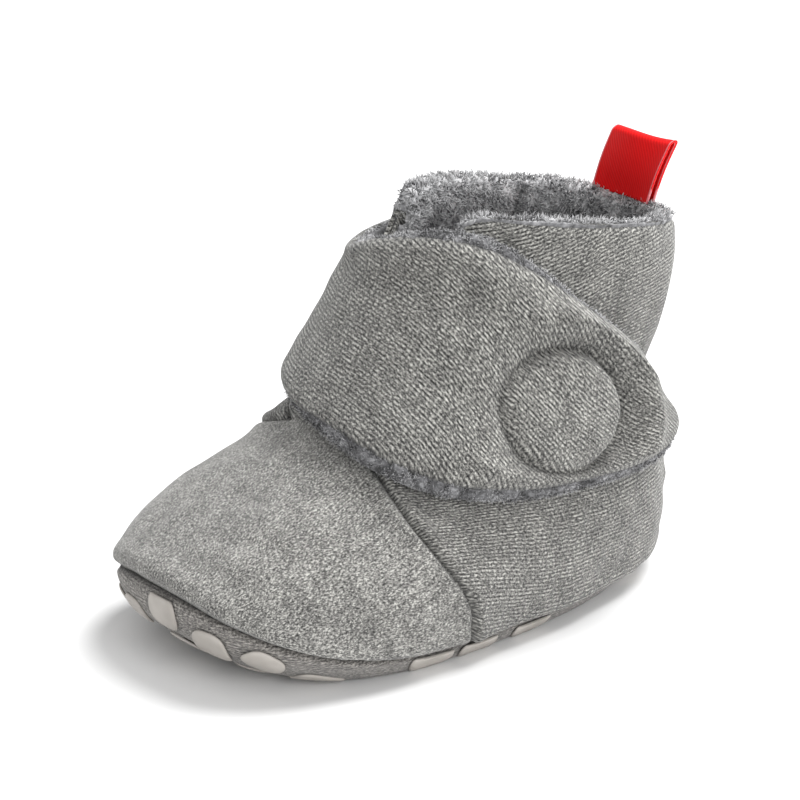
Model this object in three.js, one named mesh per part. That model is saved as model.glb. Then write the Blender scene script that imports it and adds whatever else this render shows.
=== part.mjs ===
// Baby bootie for the left foot: an ankle-high house shoe of lined jersey, closed by a wrap strap.
// Millimetres. +X points to the toe, +Y to the outer (left) side, +Z up.
// The origin is on the floor under the middle of the sole.
import * as THREE from "three";
import { mergeVertices } from "three/addons/utils/BufferGeometryUtils.js";

// Driving sizes of the last
const LENGTH = 120; // heel to toe, over the upper
const BALL_WIDTH = 71; // across the forefoot, over the upper
const HEEL_WIDTH = 66; // across the heel pouch
const ANKLE_WIDTH = 52; // across the gathered waist
const ANKLE_HEIGHT = 38.5; // floor to the elastic at the heel
const INSTEP_HEIGHT = 41; // floor to the front of the ankle
const COLLAR_LENGTH = 61; // rim, back to front
const COLLAR_WIDTH = 51.6; // rim, side to side
const COLLAR_HEIGHT = 82; // floor to the rim at the front
const COLLAR_BACK_HEIGHT = 72; // floor to the rim at the heel
const TOE_SWING = 2; // how far the toe turns to the inner side
const TOE_SPRING = 5; // lift of the sole under the toe
const HEEL_SPRING = 1.5; // lift of the sole under the back of the heel
const ARCH = 2.5; // how far the inner side draws in at the waist of the foot
const GATHER_DEPTH = 2.2; // groove that the ankle elastic draws in

// Walls, seams and clearances
const WALL = 3; // jersey and fleece lining together
const SOLE_PAD = 3; // quilted bottom of the sole
const SEAM_HEIGHT = 4; // sole seam above the floor, at the sides and heel
const TOE_SEAM_HEIGHT = 17.5; // the same at the toe, where the sole rolls up
const INSOLE_THICKNESS = 2.5;
const GAP = 0.3; // between two pieces that touch

// Strap and label
const STRAP_THICKNESS = 4.5; // jersey and fleece lining together
const STRAP_ROOT_THICKNESS = 1.6; // sewn flat where it starts
const DISC_RADIUS = 13.5; // round stitching over the fastener
const DISC_CROWN = 1.2; // how far the padding swells inside that round
const LABEL_WIDTH = 25;
const LABEL_HEIGHT = 14;
const LABEL_RIBBON = 0.6; // thickness of the folded ribbon
const LABEL_LOOP = 2.4; // outside thickness of the loop
const LABEL_LEAN = 6; // sideways lean over its height
const LABEL_SHIFT = 3; // from the middle of the heel towards the outer side

// Mesh steps
const AROUND_STEPS = 64; // columns round the shoe
// Rows of the wall as shares from the sole seam to the foot of the throat, close at the elastic.
const FOOT_ROWS = [0, 0.09, 0.19, 0.3, 0.41, 0.52, 0.63, 0.73, 0.81, 0.875, 0.925, 0.965, 1];
const THROAT_STEPS = 9; // rows above it

// The closed throat ends at this share of the way from floor to rim, and opens above it.
const THROAT_SHARE = 0.64;
const THROAT_ANGLE = 9; // degrees from the toe to the foot of the slit
const OUTER_EDGE_ANGLE = 30; // front edge of the outer side at the rim
const INNER_EDGE_ANGLE = -56; // front edge of the inner side at the rim
const INNER_EDGE_BOW = 0.6; // under 1, that edge rises steeply before it reaches the rim

// Sections of the foot, floor to ankle. heel and toe are x as shares of LENGTH, heelUp is a share
// of ANKLE_HEIGHT and toeUp of INSTEP_HEIGHT, rear and fore are half widths as shares of HEEL_WIDTH
// and BALL_WIDTH, rearExp and foreExp are superellipse exponents, and swing is a share of TOE_SWING.
const FOOT = [
  { heel: -0.415, heelUp: 0, toe: 0.415, toeUp: 0,
    rear: 0.41, fore: 0.42, rearExp: 2.5, foreExp: 2.8, swing: 0.75 },
  { heel: -0.465, heelUp: 0.105, toe: 0.475, toeUp: 0.12,
    rear: 0.46, fore: 0.47, rearExp: 2.5, foreExp: 2.9, swing: 1 },
  { heel: -0.49, heelUp: 0.26, toe: 0.495, toeUp: 0.28,
    rear: 0.49, fore: 0.5, rearExp: 2.5, foreExp: 2.9, swing: 1 },
  { heel: -0.5, heelUp: 0.47, toe: 0.475, toeUp: 0.465,
    rear: 0.5, fore: 0.49, rearExp: 2.4, foreExp: 2.7, swing: 1 },
  { heel: -0.495, heelUp: 0.675, toe: 0.4, toeUp: 0.645,
    rear: 0.485, fore: 0.465, rearExp: 2.3, foreExp: 2.5, swing: 0.75 },
  { heel: -0.475, heelUp: 0.855, toe: 0.29, toeUp: 0.815,
    rear: 0.445, fore: 0.42, rearExp: 2.2, foreExp: 2.3, swing: 0.5 },
];
// The gathered waist: the same columns, with half widths as shares of ANKLE_WIDTH.
const ANKLE =
  { heel: -0.445, heelUp: 1, toe: 0.185, toeUp: 1,
    rear: 0.49, fore: 0.52, rearExp: 2.2, foreExp: 2.2, swing: 0.25 };
// Sections of the shaft. back and front are x from the back of the heel as shares of
// COLLAR_LENGTH, backUp and frontUp are shares of the rise from ankle to rim, and rear and fore
// are half widths as shares of COLLAR_WIDTH.
const SHAFT = [
  { back: 0.08, backUp: 0.24, front: 1.2, frontUp: 0.245,
    rear: 0.495, fore: 0.485, rearExp: 2.2, foreExp: 2.1 },
  { back: 0.025, backUp: 0.53, front: 1.08, frontUp: 0.51,
    rear: 0.515, fore: 0.465, rearExp: 2.3, foreExp: 2 },
  { back: 0, backUp: 0.785, front: 1.025, frontUp: 0.755,
    rear: 0.515, fore: 0.445, rearExp: 2.3, foreExp: 2 },
  { back: 0, backUp: 1, front: 1, frontUp: 1,
    rear: 0.5, fore: 0.425, rearExp: 2.3, foreExp: 2 },
];

// The strap from its sewn root on the inner side, round the front, to its round end on the outer
// side. angle is in degrees from the toe towards the outer side, low and high are its edges as
// shares of the way from floor to rim, and lift is its gap to the upper as a share of its thickness.
// bridge is how far it runs straight from edge to edge over the hollow of the ankle: 0 follows the
// upper, 1 is straight.
const STRAP = [
  { angle: -104, low: 0.6, high: 0.9, lift: 0.05, bridge: 0.2 },
  { angle: -84, low: 0.607, high: 0.895, lift: 0.05, bridge: 0.2 },
  { angle: -56, low: 0.617, high: 0.885, lift: 0.1, bridge: 0.2 },
  { angle: -26, low: 0.617, high: 0.885, lift: 0.25, bridge: 0.2 },
  { angle: -4, low: 0.604, high: 0.921, lift: 0.32, bridge: 0.2 },
  { angle: 15, low: 0.588, high: 0.942, lift: 0.3, bridge: 0.2 },
  { angle: 33, low: 0.558, high: 0.946, lift: 0.25, bridge: 0.25 },
  { angle: 48, low: 0.529, high: 0.93, lift: 0.2, bridge: 0.35 },
  { angle: 62, low: 0.5, high: 0.896, lift: 0.15, bridge: 0.45 },
  { angle: 75, low: 0.477, high: 0.852, lift: 0.12, bridge: 0.55 },
  { angle: 88, low: 0.458, high: 0.806, lift: 0.15, bridge: 0.65 },
  { angle: 104, low: 0.446, high: 0.75, lift: 0.35, bridge: 0.75 },
  { angle: 133, low: 0.43, high: 0.63, lift: 0.6, bridge: 0.9 },
];
const STRAP_STEPS = 32; // stations along the band
const STRAP_END_STEPS = 8; // stations of the round end, which takes up the last row
const STRAP_ACROSS_STEPS = 12;
const DISC_ANGLE = 84; // centre of the stitched round
const DISC_SHARE = 0.63;

const radians = (degrees) => (degrees * Math.PI) / 180;
const mix = (a, b, k) => a + (b - a) * k;
const clamp = (v, low = 0, high = 1) => Math.min(high, Math.max(low, v));
const smooth = (k) => k * k * (3 - 2 * k);
const signedPower = (v, e) => Math.sign(v) * Math.abs(v) ** e;

// All sections in millimetres, floor to rim. Each is a list of heel x and z, toe x and z, half
// width behind and in front, exponent behind and in front, and swing.
const footSection = (s, rearWidth, foreWidth) => [
  s.heel * LENGTH,
  s.heelUp * ANKLE_HEIGHT,
  s.toe * LENGTH,
  s.toeUp * INSTEP_HEIGHT,
  s.rear * rearWidth,
  s.fore * foreWidth,
  s.rearExp,
  s.foreExp,
  s.swing * TOE_SWING,
];
const shaftSection = (s) => [
  -LENGTH / 2 + s.back * COLLAR_LENGTH,
  mix(ANKLE_HEIGHT, COLLAR_BACK_HEIGHT, s.backUp),
  -LENGTH / 2 + s.front * COLLAR_LENGTH,
  mix(INSTEP_HEIGHT, COLLAR_HEIGHT, s.frontUp),
  s.rear * COLLAR_WIDTH,
  s.fore * COLLAR_WIDTH,
  s.rearExp,
  s.foreExp,
  0,
];
const SECTIONS = [
  ...FOOT.map((s) => footSection(s, HEEL_WIDTH, BALL_WIDTH)),
  footSection(ANKLE, ANKLE_WIDTH, ANKLE_WIDTH),
  ...SHAFT.map(shaftSection),
];

// Catmull-Rom through rows that are evenly spaced in share, 0 to 1.
function between(rows, share) {
  const last = rows.length - 1;
  const i = clamp(Math.floor(share * last), 0, last - 1);
  const k = share * last - i;
  const [p0, p1, p2, p3] = [rows[Math.max(i - 1, 0)], rows[i], rows[i + 1], rows[Math.min(i + 2, last)]];
  return p1.map((_, c) => {
    const [a, b, d, e] = [p0[c], p1[c], p2[c], p3[c]];
    const square = 2 * a - 5 * b + 4 * d - e;
    const cube = 3 * b - a - 3 * d + e;
    return 0.5 * (2 * b + (d - a) * k + square * k ** 2 + cube * k ** 3);
  });
}

// Lift of the sole under toe and heel at a station x, before it fades towards the ankle.
const TOE_SPRING_FROM = 0.183; // shares of LENGTH where the sole leaves the floor
const HEEL_SPRING_FROM = 0.35;
function springAt(x) {
  const toe = clamp((x / LENGTH - TOE_SPRING_FROM) / (0.5 - TOE_SPRING_FROM), 0, 1.2);
  const heel = clamp((-x / LENGTH - HEEL_SPRING_FROM) / (0.5 - HEEL_SPRING_FROM), 0, 1.2);
  return TOE_SPRING * toe * toe + HEEL_SPRING * heel * heel;
}

// How far the inner side draws in at a station x: a smooth hump round the waist of the foot.
const ARCH_AT = -0.06; // shares of LENGTH: its middle and its half length
const ARCH_REACH = 0.3;
function archAt(x) {
  const away = clamp(Math.abs(x / LENGTH - ARCH_AT) / ARCH_REACH);
  return ARCH * (1 - smooth(away));
}

// Outer surface of the last. angle runs from the toe towards the outer side, in degrees, and
// share from the floor to the rim: each section is a superellipse in a plane tilted about Y.
const SOLE_SHAPE_FADES_AT = 0.6; // the share where springs and arch have faded out
function surface(angle, share) {
  const [heelX, heelZ, toeX, toeZ, rear, fore, rearExp, foreExp, swing] = between(SECTIONS, share);
  const c = Math.cos(radians(angle));
  const s = Math.sin(radians(angle));
  const square = mix(rearExp, foreExp, 0.5 + 0.5 * clamp(1.5 * c, -1, 1));
  const along = signedPower(c, 2 / square);
  const side = signedPower(s, 2 / square);
  const k = 0.5 + 0.5 * along;
  const x = mix(heelX, toeX, k);
  const fade = clamp(1 - share / SOLE_SHAPE_FADES_AT);
  const drawnIn = Math.max(-side, 0) * archAt(x) * fade;
  const y = side * mix(rear, fore, smooth(k)) + drawnIn - swing * clamp(along) ** 2;
  const z = mix(heelZ, toeZ, k) + springAt(x) * fade;
  return new THREE.Vector3(x, y, z);
}

// Outward normal of the surface, from small steps both ways.
const STEP_ROUND = 0.4; // degrees
const STEP_UP = 0.004; // share
function normalAt(angle, share) {
  const s = clamp(share, STEP_UP, 1 - STEP_UP);
  const round = surface(angle + STEP_ROUND, s).sub(surface(angle - STEP_ROUND, s));
  const up = surface(angle, s + STEP_UP).sub(surface(angle, s - STEP_UP));
  return round.cross(up).normalize();
}
function offset(angle, share, distance) {
  return surface(angle, share).addScaledVector(normalAt(angle, share), distance);
}

// Share at which the surface reaches a height, on the foot.
function shareAtHeight(angle, height) {
  let [low, high] = [0, 0.5];
  for (let i = 0; i < 30; i++) {
    const middle = (low + high) / 2;
    if (surface(angle, middle).z < height) low = middle;
    else high = middle;
  }
  return low;
}

// The same for a height above the sole's own underside, which springs up under toe and heel.
const shareAboveSole = (angle, height) => shareAtHeight(angle, height + springAt(surface(angle, 0).x));

// Height of the seam between sole and upper: level along the sides, and risen over the toe.
const TOE_RISE_POWER = 2.4;
function seamHeight(angle) {
  const towardsToe = clamp(Math.cos(radians(angle)));
  return mix(SEAM_HEIGHT, TOE_SEAM_HEIGHT, towardsToe ** TOE_RISE_POWER);
}
const seamShare = (angle) => shareAtHeight(angle, seamHeight(angle));

// Groove of the ankle elastic at a point of the wall: on both sides and round the heel.
const GATHER_SHARE = 0.598;
const GATHER_REACH = 0.02; // share over which the cloth is drawn in
function gatherAt(angle, share) {
  const round = smooth(clamp(0.75 - Math.cos(radians(angle))));
  return GATHER_DEPTH * round * Math.exp(-(((share - GATHER_SHARE) / GATHER_REACH) ** 2));
}
// A point of the upper's wall at a depth under its outer face.
const wallPoint = (angle, share, depth) => offset(angle, share, -depth - gatherAt(angle, share));

// Collects quads and fans into one closed mesh.
class Skin {
  constructor() {
    this.points = [];
    this.faces = [];
  }
  add(p) {
    this.points.push(p.x, p.y, p.z);
    return this.points.length / 3 - 1;
  }
  grid(rows) {
    return rows.map((row) => row.map((p) => this.add(p)));
  }
  quad(a, b, c, d) {
    this.faces.push(a, b, c, a, c, d);
  }
  // Quads between neighbouring rows; the front of each face looks along column x row.
  sheet(ids, flip = false) {
    for (let i = 0; i + 1 < ids.length; i++)
      for (let j = 0; j + 1 < ids[i].length; j++) {
        const [a, b, c, d] = [ids[i][j], ids[i][j + 1], ids[i + 1][j + 1], ids[i + 1][j]];
        if (flip) this.quad(a, d, c, b);
        else this.quad(a, b, c, d);
      }
  }
  // Equal points are welded, and faces that this closes to a line are dropped.
  geometry() {
    const loose = new THREE.BufferGeometry();
    loose.setAttribute("position", new THREE.Float32BufferAttribute(this.points, 3));
    loose.setIndex(this.faces);
    const welded = mergeVertices(loose, 1e-3);
    const index = welded.index.array;
    const kept = [];
    for (let i = 0; i < index.length; i += 3) {
      const [a, b, c] = [index[i], index[i + 1], index[i + 2]];
      if (a !== b && b !== c && c !== a) kept.push(a, b, c);
    }
    welded.setIndex(kept);
    welded.computeVertexNormals();
    return welded;
  }
}

const steps = (n) => Array.from({ length: n + 1 }, (_, i) => i / n);
const closedRound = steps(AROUND_STEPS).map((k) => THROAT_ANGLE + 360 * k);

// The rim dips where it rounds into the two front edges. round is the width of each corner in
// degrees and drop its depth as a share of the way from floor to rim.
const OUTER_CORNER = { round: 20, drop: 0.05 };
const INNER_CORNER = { round: 30, drop: 0.08 };
function rimShare(angleFromOuterEdge, angleFromInnerEdge) {
  const dip = ({ round, drop }, away) => drop * (1 - Math.sqrt(1 - clamp(1 - away / round) ** 2));
  return 1 - dip(OUTER_CORNER, angleFromOuterEdge) - dip(INNER_CORNER, angleFromInnerEdge);
}

// Upper: one hollow wall from the sole seam to the rim, with the slit throat in front.
function upperGeometry() {
  const skin = new Skin();
  const wall = FOOT_ROWS.map((k) => closedRound.map((a) => [a, mix(seamShare(a), THROAT_SHARE, k)]));
  for (const k of steps(THROAT_STEPS).slice(1)) {
    const outerEdge = mix(THROAT_ANGLE, OUTER_EDGE_ANGLE, k);
    const innerEdge = mix(THROAT_ANGLE, INNER_EDGE_ANGLE, k ** INNER_EDGE_BOW) + 360;
    wall.push(
      steps(AROUND_STEPS).map((c) => {
        const angle = mix(outerEdge, innerEdge, c);
        const rim = rimShare(angle - outerEdge, innerEdge - angle);
        return [angle, mix(THROAT_SHARE, rim, k)];
      }),
    );
  }
  const outer = skin.grid(wall.map((row) => row.map(([a, s]) => wallPoint(a, s, 0))));
  const inner = skin.grid(wall.map((row) => row.map(([a, s]) => wallPoint(a, s, WALL))));
  skin.sheet(outer);
  skin.sheet(inner, true);
  const last = wall.length - 1;
  skin.sheet([outer[0], inner[0]], true);
  skin.sheet([outer[last], inner[last]]);
  const slit = (ids, column) => ids.slice(FOOT_ROWS.length - 1).map((row) => row[column]);
  skin.sheet([slit(outer, 0), slit(inner, 0)]);
  skin.sheet([slit(outer, AROUND_STEPS), slit(inner, AROUND_STEPS)], true);
  return skin.geometry();
}

// Rings of a flat face, drawn in from an edge ring by shares, at the height that x gives.
function ringsTo(edge, shares, heightAt) {
  return shares.map((k) => edge.map((p) => new THREE.Vector3(p.x * k, p.y * k, heightAt(p.x * k))));
}

// Sole: a padded bottom with its edge rolled up to the seam, a shallow tray.
const SIDE_STEPS = 4;
const BOTTOM_RINGS = [1, 0.85, 0.68, 0.4, 0];
function soleGeometry() {
  const skin = new Skin();
  const topShare = (angle) => shareAtHeight(angle, seamHeight(angle) - GAP);
  const side = steps(SIDE_STEPS).map((k) => closedRound.map((a) => surface(a, topShare(a) * k)));
  const under = ringsTo(side[0], BOTTOM_RINGS, springAt).reverse();
  const brim = closedRound.map((a) => offset(a, topShare(a), -WALL));
  const floorEdge = closedRound.map((a) => offset(a, shareAboveSole(a, SOLE_PAD), -WALL));
  const over = ringsTo(floorEdge, BOTTOM_RINGS, (x) => SOLE_PAD + springAt(x));
  skin.sheet(skin.grid([...under, ...side.slice(1), brim, ...over]));
  return skin.geometry();
}

// Insole: a fleece-faced pad lying in the tray.
const INSOLE_INSET = 0.9; // clearance to the tray's wall
function insoleGeometry() {
  const skin = new Skin();
  const bottom = SOLE_PAD + GAP;
  const top = bottom + INSOLE_THICKNESS;
  const edge = closedRound.map((a) => {
    const [low, high] = [bottom, top].map((h) => offset(a, shareAboveSole(a, h), -WALL - INSOLE_INSET));
    return Math.hypot(low.x, low.y) < Math.hypot(high.x, high.y) ? low : high;
  });
  const under = ringsTo(edge, BOTTOM_RINGS, (x) => bottom + springAt(x)).reverse();
  const over = ringsTo(edge, BOTTOM_RINGS, (x) => top + springAt(x));
  skin.sheet(skin.grid([...under, ...over]));
  return skin.geometry();
}

// The strap's table at an angle, joined by straight lines.
function strapAt(angle) {
  const next = STRAP.findIndex((row) => row.angle >= angle);
  const i = clamp(next, 1, STRAP.length - 1);
  const [a, b] = [STRAP[i - 1], STRAP[i]];
  const k = clamp((angle - a.angle) / (b.angle - a.angle));
  return Object.fromEntries(Object.keys(a).map((column) => [column, mix(a[column], b[column], k)]));
}

// Point of the strap at a distance from the upper, partly on the straight line between its edges.
function strapPoint(angle, share, distance) {
  const { low, high, bridge } = strapAt(angle);
  const followed = offset(angle, share, distance);
  const [bottom, top] = [low, high].map((edge) => offset(angle, edge, distance));
  return followed.lerp(bottom.lerp(top, (share - low) / (high - low)), bridge);
}

// Wrap strap: a padded band over the upper's own surface, with a round end and a padded round.
const STRAP_EDGE_ROLL = 0.3; // share of the thickness lost at the rolled edges
const STRAP_END_SQUARE = 2.6; // superellipse exponent of the round end
const STRAP_ROOT_BLEND = 26; // degrees over which the sewn root comes up to full thickness
function strapGeometry() {
  const skin = new Skin();
  const first = STRAP[0].angle;
  const [bend, tip] = STRAP.slice(-2).map((row) => row.angle);
  const discCentre = surface(DISC_ANGLE, DISC_SHARE);
  const band = steps(STRAP_STEPS).map((k) => ({ angle: mix(first, bend, k), round: 0 }));
  const end = steps(STRAP_END_STEPS).slice(1).map((k) => {
    const round = Math.sin(radians(90 * k));
    return { angle: mix(bend, tip, round), round };
  });
  const columns = [...band, ...end].map(({ angle, round }) => {
    const { low, high, lift } = strapAt(angle);
    const half = ((high - low) / 2) * (1 - round ** STRAP_END_SQUARE) ** (1 / STRAP_END_SQUARE);
    const clear = GAP + lift * STRAP_THICKNESS;
    const grown = smooth(clamp((angle - first) / STRAP_ROOT_BLEND));
    const full = mix(STRAP_ROOT_THICKNESS, STRAP_THICKNESS, grown);
    return steps(STRAP_ACROSS_STEPS).map((w) => {
      const across = 2 * w - 1;
      const share = (low + high) / 2 + half * across;
      const away = surface(angle, share).distanceTo(discCentre);
      const crown = DISC_CROWN * clamp(1 - (away / DISC_RADIUS) ** 2) ** 2;
      const thickness = full * (1 - STRAP_EDGE_ROLL * across ** 6) + crown;
      return { inner: strapPoint(angle, share, clear), outer: strapPoint(angle, share, clear + thickness) };
    });
  });
  const outer = skin.grid(columns.map((column) => column.map((p) => p.outer)));
  const inner = skin.grid(columns.map((column) => column.map((p) => p.inner)));
  skin.sheet(outer, true);
  skin.sheet(inner);
  const edge = (ids, w) => ids.map((column) => column[w]);
  skin.sheet([edge(outer, 0), edge(inner, 0)], true);
  skin.sheet([edge(outer, STRAP_ACROSS_STEPS), edge(inner, STRAP_ACROSS_STEPS)]);
  skin.sheet([outer[0], inner[0]]);
  skin.sheet([outer[outer.length - 1], inner[inner.length - 1]], true);
  return skin.geometry();
}

// Back label: a ribbon folded over at the top, standing on the rim at the heel.
const LABEL_STEPS_WIDE = 6;
const LABEL_STEPS_HIGH = 5;
const LABEL_ARC_STEPS = 6;
const LABEL_LEAN_POWER = 1.5; // over 1, the lean grows towards the fold
const LABEL_FLATTEN = 0.8; // share of the rim's curve that is gone at the fold
function labelGeometry() {
  const skin = new Skin();
  // The loop's section as [across, height]: up one leg, over the fold and down the other.
  const loop = (radius) => {
    const top = LABEL_HEIGHT - LABEL_LOOP / 2;
    const leg = steps(LABEL_STEPS_HIGH).map((k) => [radius, top * k]);
    const arc = steps(LABEL_ARC_STEPS).slice(1).map((k) => {
      const turn = Math.PI * k;
      return [radius * Math.cos(turn), top + radius * Math.sin(turn)];
    });
    const down = steps(LABEL_STEPS_HIGH).slice(1).map((k) => [-radius, top * (1 - k)]);
    return [...leg, ...arc, ...down];
  };
  const perDegree = surface(180, 1).distanceTo(surface(181, 1));
  const rimAt = (along) => surface(180 + (along - LABEL_SHIFT) / perDegree, 1);
  const place = ([across, height], along) => {
    const chord = rimAt(-LABEL_WIDTH / 2).lerp(rimAt(LABEL_WIDTH / 2), along / LABEL_WIDTH + 0.5);
    const seat = rimAt(along).z + GAP;
    const rim = rimAt(along).lerp(chord, (LABEL_FLATTEN * height) / LABEL_HEIGHT);
    const lean = LABEL_LEAN * (height / LABEL_HEIGHT) ** LABEL_LEAN_POWER;
    return new THREE.Vector3(rim.x + WALL / 2 - across, rim.y + lean - LABEL_LEAN / 2, seat + height);
  };
  const alongs = steps(LABEL_STEPS_WIDE).map((k) => LABEL_WIDTH * (k - 0.5));
  const outside = loop(LABEL_LOOP / 2);
  const inside = loop(LABEL_LOOP / 2 - LABEL_RIBBON);
  const outer = skin.grid(alongs.map((along) => outside.map((p) => place(p, along))));
  const inner = skin.grid(alongs.map((along) => inside.map((p) => place(p, along))));
  skin.sheet(outer, true);
  skin.sheet(inner);
  const leg = (ids, i) => ids.map((row) => row[i]);
  const end = outside.length - 1;
  skin.sheet([leg(outer, 0), leg(inner, 0)], true);
  skin.sheet([leg(outer, end), leg(inner, end)]);
  skin.sheet([outer[0], inner[0]]);
  skin.sheet([outer[LABEL_STEPS_WIDE], inner[LABEL_STEPS_WIDE]], true);
  return skin.geometry();
}

const cloth = (color) => new THREE.MeshStandardMaterial({ color, roughness: 0.95, metalness: 0 });
const GREY_JERSEY = cloth(0x8c8c8a);
const SOLE_JERSEY = cloth(0x84807c);
const GREY_FLEECE = cloth(0x7b7e85);
const RED_RIBBON = cloth(0xcf1f22);

const pieces = [
  ["sole", soleGeometry(), SOLE_JERSEY],
  ["upper", upperGeometry(), GREY_JERSEY],
  ["insole", insoleGeometry(), GREY_FLEECE],
  ["wrap_strap", strapGeometry(), GREY_JERSEY],
  ["back_label", labelGeometry(), RED_RIBBON],
];
const bootie = new THREE.Group();
for (const [name, geometry, material] of pieces) {
  const mesh = new THREE.Mesh(geometry, material);
  mesh.name = name;
  bootie.add(mesh);
}

export default bootie;
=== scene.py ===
# %% [markdown]
# # A baby's ankle bootie
# The real shoe is sewn from grey marl jersey over a fluffy fleece lining. It has four main
# pieces: a flat sole with rubbery grip spots, an upper with a curved seam between vamp and
# quarters, an elastic that draws in the ankle, and a padded strap that wraps round the front.
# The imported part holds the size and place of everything. This lesson dresses it in cloth.

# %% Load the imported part
import itertools
import math

import bmesh
import bpy
import numpy as np
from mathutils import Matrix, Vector


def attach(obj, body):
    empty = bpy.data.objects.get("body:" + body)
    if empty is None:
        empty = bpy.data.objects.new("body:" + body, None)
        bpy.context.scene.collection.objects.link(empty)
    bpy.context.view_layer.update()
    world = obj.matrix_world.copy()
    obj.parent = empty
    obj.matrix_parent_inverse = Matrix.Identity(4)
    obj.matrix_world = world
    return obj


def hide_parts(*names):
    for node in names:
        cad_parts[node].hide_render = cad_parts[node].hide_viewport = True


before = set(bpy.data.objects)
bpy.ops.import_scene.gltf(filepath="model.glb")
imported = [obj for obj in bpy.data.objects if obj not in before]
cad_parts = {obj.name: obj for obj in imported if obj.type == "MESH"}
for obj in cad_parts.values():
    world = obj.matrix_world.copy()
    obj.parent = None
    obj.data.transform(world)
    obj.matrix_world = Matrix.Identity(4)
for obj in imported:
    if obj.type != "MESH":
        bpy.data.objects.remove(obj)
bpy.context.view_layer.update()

# %% [markdown]
# ## Camera
# The photo was taken from the shoe's front and outer side, a little above it, with a longish
# lens. A camera needs a place, an aim and a focal length. The place follows from two angles and
# a distance. The aim is the middle of the shoe, so this one shoe fills the frame.

# %% Camera
MM = 0.001
AZIMUTH, ELEVATION = 140.6, 19.8  # degrees: the photo's angle to the shoe
DISTANCE = 556.5  # mm from the middle of the shoe
AIM = Vector((-0.15, -2.74, 40.62)) * MM
LENS, SENSOR = 128.0, 36.0  # mm
NEAREST, FARTHEST = 0.02, 20.0  # m that the camera shows


def add_object(name, data):
    made = bpy.data.objects.new(name, data)
    bpy.context.scene.collection.objects.link(made)
    return made


def look_from(azimuth, elevation):
    """Unit vector from the object towards the camera; azimuth 0 is seen from -Y, 90 from +X."""
    a, e = math.radians(azimuth), math.radians(elevation)
    return Vector((math.sin(a) * math.cos(e), -math.cos(a) * math.cos(e), math.sin(e)))


towards_camera = look_from(AZIMUTH, ELEVATION)
camera_data = bpy.data.cameras.new("camera")
camera_data.lens, camera_data.sensor_width = LENS, SENSOR
camera_data.clip_start, camera_data.clip_end = NEAREST, FARTHEST
camera = add_object("camera", camera_data)
camera.location = AIM + towards_camera * DISTANCE * MM
camera.rotation_euler = (-towards_camera).to_track_quat("-Z", "Y").to_euler()
bpy.context.scene.camera = camera
print("camera at", [round(c, 3) for c in camera.location])

# %% [markdown]
# ## The last
# A last is the form that a shoe is made on. Every piece of cloth here lies on it or near it, so
# it comes first, as one function of two numbers: the angle round the foot and the share of the
# way up from floor to rim. Each row of the tables is a section, a superellipse in a tilted plane.

# %% Sizes of the shoe in millimetres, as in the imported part
LENGTH, BALL_WIDTH, HEEL_WIDTH = 120.0, 71.0, 66.0
ANKLE_WIDTH, ANKLE_HEIGHT, INSTEP_HEIGHT = 52.0, 38.5, 41.0
COLLAR_LENGTH, COLLAR_WIDTH, COLLAR_HEIGHT, COLLAR_BACK_HEIGHT = 61.0, 51.6, 82.0, 72.0
TOE_SWING, TOE_SPRING, HEEL_SPRING, ARCH = 2.0, 5.0, 1.5, 2.5
WALL, SOLE_PAD, INSOLE_THICKNESS, GAP = 3.0, 3.0, 2.5, 0.3
SEAM_HEIGHT, TOE_SEAM_HEIGHT, TOE_RISE_POWER = 4.0, 17.5, 2.4

# %% Sections of the last
# heel x, heel z, toe x, toe z, half width behind and in front, exponent behind and in front, swing
FOOT = np.array(
    [
        (-0.415, 0.000, 0.415, 0.000, 0.410, 0.420, 2.5, 2.8, 0.75),
        (-0.465, 0.105, 0.475, 0.120, 0.460, 0.470, 2.5, 2.9, 1.00),
        (-0.490, 0.260, 0.495, 0.280, 0.490, 0.500, 2.5, 2.9, 1.00),
        (-0.500, 0.470, 0.475, 0.465, 0.500, 0.490, 2.4, 2.7, 1.00),
        (-0.495, 0.675, 0.400, 0.645, 0.485, 0.465, 2.3, 2.5, 0.75),
        (-0.475, 0.855, 0.290, 0.815, 0.445, 0.420, 2.2, 2.3, 0.50),
        (-0.445, 1.000, 0.185, 1.000, 0.490, 0.520, 2.2, 2.2, 0.25),
    ]
)
FOOT_UNITS = np.array(
    [LENGTH, ANKLE_HEIGHT, LENGTH, INSTEP_HEIGHT, HEEL_WIDTH, BALL_WIDTH, 1, 1, TOE_SWING]
)
# back x and z, front x and z, half width behind and in front, exponent behind and in front
SHAFT = np.array(
    [
        (0.080, 0.240, 1.200, 0.245, 0.495, 0.485, 2.2, 2.1),
        (0.025, 0.530, 1.080, 0.510, 0.515, 0.465, 2.3, 2.0),
        (0.000, 0.785, 1.025, 0.755, 0.515, 0.445, 2.3, 2.0),
        (0.000, 1.000, 1.000, 1.000, 0.500, 0.425, 2.3, 2.0),
    ]
)
foot_rows = FOOT * FOOT_UNITS
foot_rows[-1, 4:6] = FOOT[-1, 4:6] * ANKLE_WIDTH
shaft_rows = np.column_stack(
    [
        -LENGTH / 2 + SHAFT[:, 0] * COLLAR_LENGTH,
        ANKLE_HEIGHT + SHAFT[:, 1] * (COLLAR_BACK_HEIGHT - ANKLE_HEIGHT),
        -LENGTH / 2 + SHAFT[:, 2] * COLLAR_LENGTH,
        INSTEP_HEIGHT + SHAFT[:, 3] * (COLLAR_HEIGHT - INSTEP_HEIGHT),
        SHAFT[:, 4:6] * COLLAR_WIDTH,
        SHAFT[:, 6:8],
        np.zeros(len(SHAFT)),
    ]
)
SECTIONS = np.vstack([foot_rows, shaft_rows])
print("sections of the last:", len(SECTIONS))


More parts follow.
